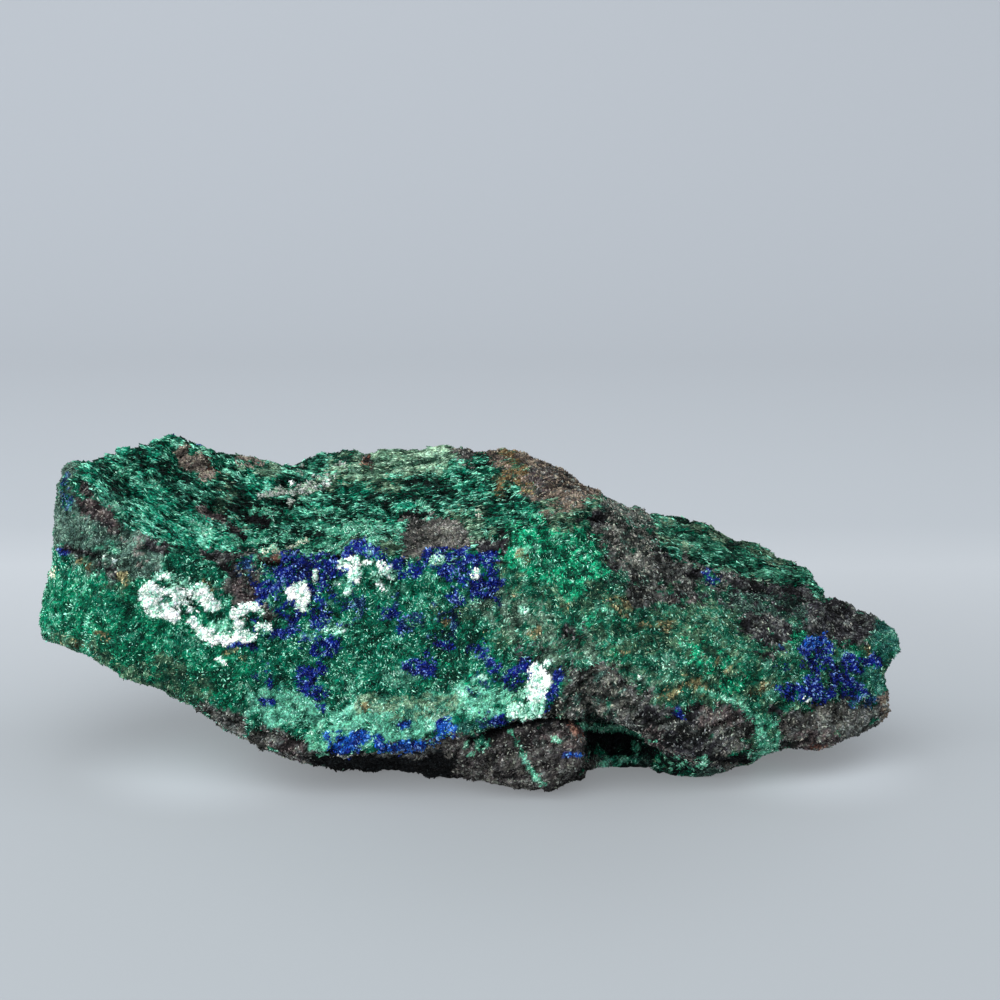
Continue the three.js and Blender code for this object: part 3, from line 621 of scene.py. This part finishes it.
        (1.3, 1, 537, 677, 546, 684), (1.2, 1, 532, 688, 542, 690), (0.9, 0.9, 528, 698, 538, 697),
        (0.6, 1, 532, 670, 535, 668), (0.4, 1, 547, 664, 549, 662), (0.4, 0.9, 188, 621, 196, 619),
        (0.4, 0.9, 292, 484), (0.4, 1, 328, 483), (0.4, 0.8, 804, 700, 810, 700), (0.4, 0.7, 344, 632),
        (0.4, 1, 640, 677), (0.6, 0.75, 166, 605, 178, 603), (0.5, 0.65, 182, 602, 196, 603),
        (0.4, 0.6, 188, 609, 196, 612),
    ]),
    ("bowl_green", [(0.4, 0.9, 166, 597, 171, 599), (0.35, 0.8, 160, 584, 166, 586), (0.5, 1, 184, 612, 190, 617)]),
    ("mint", [
        (2.4, 0.09, 150, 600, 176, 600, 206, 598), (2.2, 0.12, 206, 632, 250, 622), (1.4, 0.2, 350, 566, 388, 572),
        (1.6, 0.18, 540, 676, 534, 692),
    ]),
]
PIXELS_IN_MM = 5.73  # at the rock
STROKE_STEP = 8.0  # pixels between the points at which a stroke is laid on the rock
STROKE_REACH = 1.9  # where the furthest point of a stroke's ragged edge may lie, in half widths
# How deep a stroke goes over a surface that the camera hardly sees: in half widths, and mm on top of them.
STROKE_DEPTH = 4.0
STROKE_DEPTH_MORE = 2.0
# How far a stroke's edge strays, as a share of its half width: in lumps and in fine grain. A wide stroke's strays by
# less, EDGE_WIDE / half width + EDGE_LEAST of that.
EDGE_LUMPS = 0.18
EDGE_GRAIN = 0.2
EDGE_WIDE = 1.6
EDGE_LEAST = 0.35
# The share of coarse noise in the gaps of a partly covered stroke is its half width / COARSE_WIDTH, within limits.
COARSE_WIDTH = 3.0
COARSE_LIMITS = (0.2, 0.7)

# For the tones where no stroke lies.
FACE_WAY = np.array([0, -0.95, 0.3])  # the way the front face looks
FACE_LEAST = 0.15  # of the normal along it, for a place on the face
FACE_FOOT = 7.0  # height at which the face starts
BOWL_END = 5.0  # x at which the face's left part, the bowl, ends
BACK_START = 4.0  # y behind which there may be azurite and rust
TOP_LEAST = 0.75  # of the normal's upward part, for a place on the top


def path_of(pixels):
    """A stroke's pixels, which are listed as x, y, x, y and so on, as pairs."""
    return np.array(pixels, dtype=float).reshape(-1, 2)


def laid_on(tree, pixels):
    """The places on the rock, in mm, of the points along a stroke."""
    pixels = path_of(pixels)
    dense = [pixels[0]]
    for start, end in zip(pixels, pixels[1:]):
        steps = max(1, round(math.dist(start, end) / STROKE_STEP))
        dense += [tuple(a + (b - a) * i / steps for a, b in zip(start, end)) for i in range(1, steps + 1)]
    eye = Vector(CAMERA_PLACE)
    hits = [tree.ray_cast(eye, pixel_ray(x, y))[0] for x, y in dense]
    return np.array([hit for hit in hits if hit is not None])


def seen_at(points):
    """The pixel of the picture at which the camera has each point."""
    away = points - np.array(CAMERA_PLACE)
    depth, up = (away @ np.array(axis) for axis in camera_axes())
    scale = PICTURE * LENS / SENSOR / depth
    return np.stack([PICTURE / 2 + away[:, 0] * scale, PICTURE / 2 - up * scale], axis=1)


def distance_to_path(points, path):
    """How far each point is from a path of one or more places."""
    nearest = np.full(len(points), np.inf)
    for start, end in zip(path, path[1:] if len(path) > 1 else path):
        along = end - start
        t = np.clip((points - start) @ along / max(along @ along, TINY), 0, 1)
        nearest = np.minimum(nearest, np.linalg.norm(points - start - t[:, None] * along, axis=1))
    return nearest


def unstroked_tones(points, normals):
    """The tone at each point where no stroke lies: greens in front and on top, rock with crusts elsewhere. The even
    noise is compared with shares of the surface."""
    x, y, z = points.T
    broad = even_noise(points, size=16, seed=31)
    face = (normals @ FACE_WAY > FACE_LEAST) & (z > FACE_FOOT)
    tone = np.full(len(points), TONE_NAMES.index("rock"))
    for name, here in [
        ("slab_green", broad > 0.5),
        ("deep_green", broad > 0.78),
        ("dark_rock", (broad < 0.2) & (even_noise(points, size=7, seed=35) > 0.4)),
        ("mottled", even_noise(points, size=9, seed=41) > 0.88),
        ("azurite", (even_noise(points, size=6, seed=47) > 0.9) & (broad > 0.5) & (y > BACK_START)),
        ("rust", (even_noise(points, size=5, seed=53) > 0.95) & (y > BACK_START)),
        ("bowl_green", face & (x < BOWL_END)),
        ("slab_green", face & (x >= BOWL_END)),
        ("trough_green", (normals[:, 2] > TOP_LEAST) & (even_noise(points, size=11, seed=59) < 0.75)),
    ]:
        tone[here] = TONE_NAMES.index(name)
    return tone


def tones_at(points, normals, laid):
    """The tone at each point: the last stroke's that covers it, with specks of another in it."""
    tone = unstroked_tones(points, normals)
    ragged = EDGE_LUMPS * rough_noise(points, size=2.6, seed=11) / NOISE_SPREAD
    ragged += EDGE_GRAIN * noise(points, size=0.8, seed=17)
    patchy = even_noise(points, size=1.9, seed=23)
    speckled = even_noise(points, size=0.9, seed=29)
    seen = seen_at(points)
    for index, half_width, share, path, places in laid:
        reach = half_width * PIXELS_IN_MM * STROKE_REACH
        low, high = path.min(axis=0) - reach, path.max(axis=0) + reach
        near = np.flatnonzero(((seen > low) & (seen < high)).all(axis=1))
        depth = STROKE_DEPTH * half_width + STROKE_DEPTH_MORE
        near = near[distance_to_path(points[near], places) < depth]
        away = distance_to_path(seen[near], path) / (half_width * PIXELS_IN_MM)
        edge = 1 + ragged[near] * min(1.0, EDGE_WIDE / half_width + EDGE_LEAST)
        coarse = np.clip(half_width / COARSE_WIDTH, *COARSE_LIMITS)
        broken = coarse * patchy[near] + (1 - coarse) * speckled[near]
        covered = (away < edge) & ((share >= 1) | (broken < share))
        tone[near[covered]] = index
    specks = even_noise(points, SPECK_SIZE, seed=37) < SPECK_SHARE[tone]
    tone[specks] = SPECK_OF_TONE[tone[specks]]
    return tone


# ------------------------------
# The rock's own surface.

VOXEL = 0.59  # mm between the fine surface's points
SMOOTHING = 5  # passes
LIFT = 0.2  # mm by which the fine surface stands off the CAD solid, except underneath
UNDERSIDE = (-0.8, -0.3)  # the normal's upward part, from where the lift starts to where it is full

# Each crack's half width and depth in mm, and the pixels of the picture that it passes.
CRACKS = [
    (0.7, 1.8, 455, 742, 476, 738, 500, 731, 515, 723, 545, 719, 583, 723),
    (0.6, 1.0, 548, 722, 566, 704, 580, 686, 600, 668),
    (0.8, 1.0, 688, 575, 715, 586, 750, 590, 806, 596),
    (0.6, 0.9, 202, 548, 212, 558, 230, 572),
    (0.6, 0.8, 60, 548, 80, 552, 104, 556),
    (0.7, 0.8, 775, 704, 805, 703, 848, 700),
    (0.7, 0.9, 232, 722, 260, 732, 300, 742),
    (0.6, 0.7, 560, 634, 585, 640, 600, 652),
    (0.7, 1.0, 146, 464, 162, 484, 185, 494, 208, 500),
    (0.6, 0.9, 340, 558, 310, 560, 285, 563, 260, 562),
    (0.7, 1.0, 242, 508, 262, 518, 268, 524),
    (0.7, 1.2, 364, 498, 398, 514, 420, 514),
    (0.6, 1.2, 296, 480, 302, 484),
    (0.7, 0.9, 228, 531, 246, 537),
    (0.6, 0.9, 655, 550, 672, 553, 700, 560),
    (0.7, 0.9, 583, 516, 600, 520, 640, 534),
    (0.6, 0.8, 782, 743, 820, 743, 866, 740),
    (0.6, 0.7, 570, 506, 535, 522, 505, 532),
]
CRACK_WANDER = 0.3  # mm by which a crack strays from its line

FIBRE_FALL = 0.25  # how steeply the top's fibres run down towards the middle, left of where they level out
FIBRE_LEVEL = -28.0
FIBRE_RISE = 0.06
FIBRE_SLANT = 0.8  # mm that they run back for each mm down
LAYER_TILT = 15  # degrees about X
LAYER_DIP = -20  # degrees about Y

SWELLS = [(0.08, 3.4, 61), (0.06, 1.4, 67)]  # height in mm, size in mm and seed
# How high the relief of each kind of grain is, in mm: fibres, pits (downwards), large chips, small chips, the crust
# itself and the lumps of it.
RELIEF = {
    "grain": (0.03, 0.3, 0.36, 0.32, 0.0, 0.0),
    "needle": (0.03, 0.3, 0.15, 0.13, 0.0, 0.0),
    "blade": (0.22, 0.8, 0.15, 0.13, 0.0, 0.0),
    "block": (0.03, 0.3, 0.15, 0.13, 0.1, 0.0),
    "powder": (0.03, 0.3, 0.15, 0.13, 0.3, 0.3),
}
CALM_TONES = ["crest_green", "top_olive", "pale_green", "lip_mint", "pale_rock"]
CALM_RELIEF = (0.1, 0.06, 0.06)  # their pits and chips, since they lie along the outline
RELIEF_OF_TONE = np.array([RELIEF[kind] for kind in KIND_OF_TONE])
RELIEF_OF_TONE[[TONE_NAMES.index(name) for name in CALM_TONES], 1:4] = CALM_RELIEF
PIT_NOISE = (0.35, 0.8)  # from where a pit starts to where it is deepest
GRIT = 0.05  # standard deviation of each point's height, in mm

# How bright the grains are, from 0 to 1: in the middle, and how much each pattern changes it.
BRIGHTNESS = 0.45
CLOUDS = [(0.04, 7.0, 101), (0.05, 2.2, 103)]  # change, size in mm and seed
CLUSTERS = 0.3
BLADE_STREAKS = 0.16
GRAIN_LAYERS = 0.1
PAINTED_RELIEF_SHADING = 0.3  # painted light and shade: how much brighter grains are for each mm that they stand out, so hollows are painted darker
SURFACE_PAINTED_SHADE = 0.26  # painted shade between the crystals: how much darker the surface is than the crystals on it
SURFACE_VARIETY = 0.06
TINT_VARIETY = (0.93, 1.07)  # factors on each channel
LIGHT_CURVE = 1.7  # keeps moderately bright grains in their middling colour


def mesh_arrays(mesh):
    """A mesh's points, in mm, and the normals at them."""
    points = np.empty(3 * len(mesh.vertices))
    mesh.vertices.foreach_get("co", points)
    normals = np.empty(3 * len(mesh.vertices))
    mesh.vertices.foreach_get("normal", normals)
    return points.reshape(-1, 3) / MM, normals.reshape(-1, 3)


def fine_copy():
    """The CAD solid as a fine, evenly meshed object."""
    rock = add_object("rock_surface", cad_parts[ROCK_NODE].data.copy())
    remesh = rock.modifiers.new("remesh", "REMESH")
    remesh.mode = "VOXEL"
    remesh.voxel_size = VOXEL * MM
    smooth = rock.modifiers.new("smooth", "SMOOTH")
    smooth.iterations = SMOOTHING
    evaluated = rock.evaluated_get(bpy.context.evaluated_depsgraph_get())
    mesh = bpy.data.meshes.new_from_object(evaluated)
    rock.modifiers.clear()
    rock.data = mesh
    return rock


def rock_tree(mesh):
    """The rock's faces, in mm, for rays to be cast at."""
    points, _ = mesh_arrays(mesh)
    return BVHTree.FromPolygons([Vector(p) for p in points], [tuple(f.vertices) for f in mesh.polygons])


def fibre_frame(points):
    """Points moved so that the fibres of the top, which bend, run along X."""
    x, y, z = points.T
    drop = np.where(x < FIBRE_LEVEL, FIBRE_FALL * (x - FIBRE_LEVEL), -FIBRE_RISE * (x - FIBRE_LEVEL))
    return np.stack([x, y + FIBRE_SLANT * drop, z + drop], axis=1)


def fibre_direction(points):
    slope = np.where(points[:, 0] < FIBRE_LEVEL, -FIBRE_FALL, FIBRE_RISE)
    return unit(np.stack([np.ones(len(points)), FIBRE_SLANT * slope, slope], axis=1))


def turn_about(axis, degrees):
    """The matrix that turns row vectors into a frame turned about an axis."""
    return np.array(Matrix.Rotation(math.radians(degrees), 3, axis))


# Turns row vectors into the frame of the rock's layers, which lie flat in it.
LAYER_TURN = turn_about("Y", LAYER_DIP) @ turn_about("X", LAYER_TILT)


def relief(points, tone, tree):
    """How far the crusts, fibres, chips and cracks lift each point off the smooth rock, in mm."""
    fibre_height, pit_depth, facet_height, chip_height, crust, lumps = RELIEF_OF_TONE[tone].T
    height = np.zeros(len(points))
    for swell, size, seed in SWELLS:
        height += swell * rough_noise(points, size, seed) / NOISE_SPREAD
    height += fibre_height * (rough_noise(fibre_frame(points), size=[9.0, 1.3, 1.3], seed=71) / NOISE_SPREAD)
    height -= pit_depth * smooth_step(*PIT_NOISE, noise(points, size=1.9, seed=127))
    layered = points @ LAYER_TURN
    height += facet_height * chips(layered, size=[5.0, 5.0, 3.0], seed=79)
    height += chip_height * chips(layered, size=[2.2, 2.2, 1.3], seed=89)
    height += crust + lumps * noise(points, size=1.1, seed=83)
    for half_width, depth, *pixels in CRACKS:
        away = distance_to_path(points, laid_on(tree, pixels)) + CRACK_WANDER * noise(points, size=1.6, seed=89)
        height -= depth * (1 - smooth_step(0, half_width, away))
    return height + GRIT * random.normal(size=len(points))


def roughen(mesh, laid, tree):
    """Moves the fine surface by its relief and colours it, with painted shade in its hollows and under the crystals;
    returns the relief.
    """
    points, normals = mesh_arrays(mesh)
    tone = tones_at(points, normals, laid)
    height = relief(points, tone, tree)
    lift = LIFT * smooth_step(*UNDERSIDE, normals[:, 2])
    moved = points + normals * (height + lift)[:, None]
    moved[:, 2] = np.maximum(moved[:, 2], 0)  # not below the floor
    mesh.vertices.foreach_set("co", (moved * MM).ravel())
    mesh.update()
    # Painted shade: the surface darker than its crystals and where it sinks, lighter where it stands out.
    bright = brightness_at(points, tone) - SURFACE_PAINTED_SHADE + PAINTED_RELIEF_SHADING * height
    bright += SURFACE_VARIETY * random.normal(size=len(points))
    store_colour(mesh, tone_colours(tone, bright))
    return height


def brightness_at(points, tone):
    """How light the grains around each point are: clouds and clusters, with streaks in fibres and layers in rock."""
    kind = KIND_OF_TONE[tone]
    streaks = rough_noise(fibre_frame(points), size=[5.0, 1.1, 1.0], seed=107) / NOISE_SPREAD
    layers = rough_noise(points @ LAYER_TURN, size=[5.0, 5.0, 0.8], seed=109) / NOISE_SPREAD
    bright = np.full(len(points), BRIGHTNESS)
    for change, size, seed in CLOUDS:
        bright += change * (rough_noise(points, size, seed) / NOISE_SPREAD)
    bright += CLUSTERS * noise(points, size=0.65, seed=105)
    bright += np.where(kind == "blade", BLADE_STREAKS, 0.0) * streaks
    return bright + np.where(kind == "grain", GRAIN_LAYERS, 0.0) * layers


def tone_colours(tone, bright):
    """Each grain's colour: its tone's dark one at 0, the middling one at 0.5 and the light one at 1."""
    bright = np.clip(bright, 0, 1)[:, None]
    low = np.clip(1 - 2 * bright, 0, 1)
    high = np.clip(2 * bright - 1, 0, 1) ** LIGHT_CURVE
    colour = DARK[tone] * low + LIGHT[tone] * high + MIDDLE[tone] * (1 - low - high)
    return colour * random.uniform(*TINT_VARIETY, colour.shape)


def store_colour(mesh, colour):
    attribute = mesh.color_attributes.new("tint", "FLOAT_COLOR", "POINT")
    rgba = np.ones((len(colour), 4))
    rgba[:, :3] = colour
    attribute.data.foreach_set("color", rgba.ravel())


# ------------------------------
# Crystals. Each kind has a shape of about one unit high and wide, which is scaled, turned and copied.

# A three-sided prism with a slanted top, and a chisel with four corners.
PRISM = (np.array([(math.cos(a), math.sin(a), z) for z in (-0.5, 1) for a in (0, 2.1, 4.2)]) * (0.5, 0.5, 1)
         + np.array([(0, 0, 0)] * 3 + [(0, 0, 0), (0, 0, -0.35), (0, 0, -0.15)]))
PRISM_FACES = [(0, 2, 1), (3, 4, 5), (0, 1, 4), (0, 4, 3), (1, 2, 5), (1, 5, 4), (2, 0, 3), (2, 3, 5)]
CHISEL = np.array([(0.0, 0.6, -0.7), (0.0, -0.6, -0.7), (0.5, 0.0, 0.8), (-0.5, 0.0, 1.0)])
CHISEL_FACES = [(0, 1, 2), (1, 0, 3), (0, 2, 3), (1, 3, 2)]

# Each kind's corners, faces, share of the places used, shortest and longest length, width as a share of its length,
# rise from the surface, piece and slot.
KINDS = {
    "needle": (CHISEL, CHISEL_FACES, 1.0, 0.2, 0.5, 0.48, 0.5, "malachite_druse", "malachite"),
    "blade": (CHISEL, CHISEL_FACES, 1.0, 0.28, 0.8, 0.38, 0.12, "malachite_fibres", "malachite"),
    "block": (PRISM, PRISM_FACES, 0.9, 0.22, 0.5, 0.75, 0.9, "azurite_crystals", "azurite"),
    "grain": (CHISEL, CHISEL_FACES, 0.5, 0.2, 0.5, 0.9, 0.5, "rock_grains", "host_rock"),
    "powder": (CHISEL, CHISEL_FACES, 1.0, 0.22, 0.46, 1.0, 0.8, "carbonate_crust", "white_carbonate"),
}
LENGTH_CURVE = 1.5  # makes short crystals more common than long ones
THICKNESSES = (0.6, 1.3)  # factors on each crystal's two widths
DENSITY = 11.0  # places for crystals in front and on top, on a square mm
UNSEEN_DENSITY = 0.35  # of that, elsewhere
FRONT_WAY = np.array([0, -0.9, 0.45])
# The part of the normal that looks forwards, and the part that looks up, at which the density starts and is full.
FRONT_LIMITS = (-0.15, 0.25)
TOP_LIMITS = (0.1, 0.5)
MOST_TRIANGLES = 190000  # in one piece
SHEAF = 1.6  # how much neighbouring crystals share a direction
SHEAF_SIZE = 2.2
FIBRE_STRAY = 0.2  # how much fibres stray from their common direction
MIXING = 0.14  # mm by which crystals of neighbouring tones mix
LOWEST = 0.3  # height of the lowest place for a crystal
CLEARANCE = 0.02  # height of the lowest corner of one
CRYSTAL_VARIETY = 0.2  # of brightness
MOST_PAINTED_GLINTS = 0.2  # painted glints: the share of a cluster's crystals that are painted nearly as light as they come, as highlights
PAINTED_GLINT_CURVE = 1.5  # sets how small such clusters are
PAINTED_GLINT_BRIGHTNESS = (0.75, 1.1)


def unit(vectors):
    return vectors / np.maximum(np.linalg.norm(vectors, axis=1, keepdims=True), TINY)


def sample_surface(mesh, density_at):
    """Random places on a mesh, and a vertex near each, for a density in places per square mm."""
    mesh.calc_loop_triangles()
    corners = np.empty(3 * len(mesh.loop_triangles), dtype=np.int32)
    mesh.loop_triangles.foreach_get("vertices", corners)
    corners = corners.reshape(-1, 3)
    points, _ = mesh_arrays(mesh)
    a, b, c = (points[corners[:, i]] for i in range(3))
    area = np.linalg.norm(np.cross(b - a, c - a), axis=1) / 2
    wanted = area * density_at[corners[:, 0]]
    number = np.floor(wanted + random.random(len(wanted))).astype(int)
    triangle = np.repeat(np.arange(len(area)), number)
    u, v = random.random((2, len(triangle)))
    over = u + v > 1
    u[over], v[over] = 1 - u[over], 1 - v[over]
    place = a[triangle] + u[:, None] * (b - a)[triangle] + v[:, None] * (c - a)[triangle]
    return place, corners[triangle, 0]


def crystal_frames(places, normals, rise, along=None):
    """Three axes for each crystal: it lies over on the surface, in sheaves, or along a direction."""
    if along is None:
        sheaf = np.stack([noise(places, SHEAF_SIZE, seed=131 + i) for i in range(3)], axis=1)
        along = SHEAF * sheaf + random.normal(size=normals.shape)
    else:
        along = random.choice((-1.0, 1.0), len(places))[:, None] * along
        along = along + FIBRE_STRAY * random.normal(size=normals.shape)
    flat = along - (along * normals).sum(axis=1, keepdims=True) * normals
    out = unit(unit(flat) + rise * normals)
    across = unit(np.cross(out, random.normal(size=normals.shape)))
    return np.stack([across, np.cross(out, across), out], axis=1)


def joined_crystals(name, material, corners, faces, colours):
    """Meshes, each under the limit on triangles, of crystals given by their corners."""
    per_piece = MOST_TRIANGLES // len(faces)
    for number, start in enumerate(range(0, len(corners), per_piece), 1):
        chosen = corners[start:start + per_piece]
        count, each = chosen.shape[:2]
        triangles = (np.array(faces)[None] + each * np.arange(count)[:, None, None]).reshape(-1, 3)
        mesh = bpy.data.meshes.new(f"{name}_{number}")
        mesh.vertices.add(count * each)
        mesh.vertices.foreach_set("co", (chosen * MM).ravel())
        mesh.loops.add(triangles.size)
        mesh.loops.foreach_set("vertex_index", triangles.ravel().astype(np.int32))
        mesh.polygons.add(len(triangles))
        mesh.polygons.foreach_set("loop_start", np.arange(0, triangles.size, 3, dtype=np.int32))
        mesh.update(calc_edges=True)
        store_colour(mesh, np.repeat(colours[start:start + per_piece], each, axis=0))
        mesh.materials.append(material)
        piece = add_object(f"{name}_{number}", mesh)
        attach(piece, "root")


def grow_crystals(mesh, height, laid, materials):
    """Stands each kind of crystal on the parts of the rock that its tones cover."""
    _, normals = mesh_arrays(mesh)
    in_front = smooth_step(*FRONT_LIMITS, normals @ FRONT_WAY)
    on_top = smooth_step(*TOP_LIMITS, normals[:, 2])
    density = DENSITY * (UNSEEN_DENSITY + (1 - UNSEEN_DENSITY) * np.maximum(in_front, on_top))
    every_place, vertex = sample_surface(mesh, density)
    every_outward = normals[vertex]
    mixed = every_place + MIXING * random.normal(size=every_place.shape)
    every_tone = tones_at(mixed, every_outward, laid)
    # Painted light and shade: crystals lighter on high places and darker in hollows.
    every_bright = brightness_at(every_place, every_tone) + PAINTED_RELIEF_SHADING * height[vertex]
    every_bright += CRYSTAL_VARIETY * random.normal(size=len(every_tone))
    # Painted glints: clusters of crystals made nearly as light as their tone comes, as highlights.
    painted_glint_share = MOST_PAINTED_GLINTS * even_noise(every_place, size=1.6, seed=137) ** PAINTED_GLINT_CURVE
    painted_glinting = np.flatnonzero(random.random(len(every_tone)) < painted_glint_share)
    every_bright[painted_glinting] = random.uniform(*PAINTED_GLINT_BRIGHTNESS, len(painted_glinting))
    used = random.random(len(every_tone))
    for kind, (shape, faces, share, short, long, width, rise, name, slot) in KINDS.items():
        matching = (KIND_OF_TONE[every_tone] == kind) & (used < share) & (every_place[:, 2] > LOWEST)
        places, outward = every_place[matching], every_outward[matching]
        length = short + (long - short) * random.random(len(places)) ** LENGTH_CURVE
        widths = length * width * random.uniform(*THICKNESSES, (2, len(places)))
        sizes = np.stack([*widths, length], axis=1)
        frames = crystal_frames(places, outward, rise, fibre_direction(places) if kind == "blade" else None)
        corners = np.einsum("nvi,nij->nvj", shape[None] * sizes[:, None, :], frames) + places[:, None, :]
        clear = corners[:, :, 2].min(axis=1) > CLEARANCE
        colours = tone_colours(every_tone[matching], every_bright[matching])
        joined_crystals(name, materials[slot], corners[clear], faces, colours[clear])
        print(name, clear.sum(), "crystals", clear.sum() * len(faces), "triangles")


# ------------------------------
# Materials.

CLOUD_DETAIL = 3
CLOUD_LEVELS = (0.36, 0.64)  # between which nearly all of Blender's noise lies
PIT_SIZE = 0.45
PIT_DEPTH = 0.25
PIT_STRENGTH = 0.8


def crystal_material(name, roughness, gloss, darkest, brightest, grain=0.4):
    """A mineral in each vertex's colour, clouded by noise with grains of a size in mm, between two factors."""
    material, nodes, links, shader = new_material(name)
    set_inputs(shader, {"Roughness": roughness, "Specular IOR Level": gloss})
    tint = nodes.new("ShaderNodeAttribute")
    tint.attribute_name = "tint"
    where = nodes.new("ShaderNodeTexCoord")
    cloud = nodes.new("ShaderNodeTexNoise")
    set_inputs(cloud, {"Scale": 1 / (grain * MM), "Detail": CLOUD_DETAIL})
    levels = nodes.new("ShaderNodeMapRange")
    low, high = CLOUD_LEVELS
    set_inputs(levels, {"From Min": low, "From Max": high, "To Min": darkest, "To Max": brightest})
    clouded = nodes.new("ShaderNodeVectorMath")
    clouded.operation = "SCALE"
    links.new(where.outputs["Object"], cloud.inputs["Vector"])
    links.new(cloud.outputs["Fac"], levels.inputs["Value"])
    links.new(tint.outputs["Color"], clouded.inputs[0])
    links.new(levels.outputs["Result"], clouded.inputs["Scale"])
    links.new(clouded.outputs["Vector"], shader.inputs["Base Color"])
    return material


def rock_material():
    """The rock's surface: a mineral with fine pits."""
    material = crystal_material("host_rock_surface", 0.8, 0.08, 0.45, 1.55)
    nodes, links = material.node_tree.nodes, material.node_tree.links
    where = nodes.new("ShaderNodeTexCoord")
    pits = nodes.new("ShaderNodeTexVoronoi")
    set_inputs(pits, {"Scale": 1 / (PIT_SIZE * MM)})
    bump = nodes.new("ShaderNodeBump")
    set_inputs(bump, {"Distance": PIT_DEPTH * MM, "Strength": PIT_STRENGTH})
    links.new(where.outputs["Object"], pits.inputs["Vector"])
    links.new(pits.outputs["Distance"], bump.inputs["Height"])
    links.new(bump.outputs["Normal"], nodes["Principled BSDF"].inputs["Normal"])
    return material


# ------------------------------

make_camera()
make_stage()
light_the_scene()

rock = fine_copy()
tree = rock_tree(rock.data)
laid = [(TONE_NAMES.index(name), half_width, share, path_of(pixels), laid_on(tree, pixels))
        for name, strokes in STROKES for half_width, share, *pixels in strokes]
height = roughen(rock.data, laid, tree)
rock.data.materials.clear()
rock.data.materials.append(rock_material())
rock.data.shade_flat()
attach(rock, "root")
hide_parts(ROCK_NODE)
print("rock_surface", sum(len(f.vertices) - 2 for f in rock.data.polygons), "triangles")

crystal_materials = {
    "malachite": crystal_material("malachite_crystal", 0.35, 0.14, 0.5, 1.5),
    "azurite": crystal_material("azurite_crystal", 0.3, 0.16, 0.5, 1.6),
    "host_rock": crystal_material("host_rock_grain", 0.7, 0.12, 0.5, 1.6),
    "white_carbonate": crystal_material("white_carbonate_powder", 0.8, 0.2, 0.82, 1.15, grain=0.5),
}
grow_crystals(rock.data, height, laid, crystal_materials)
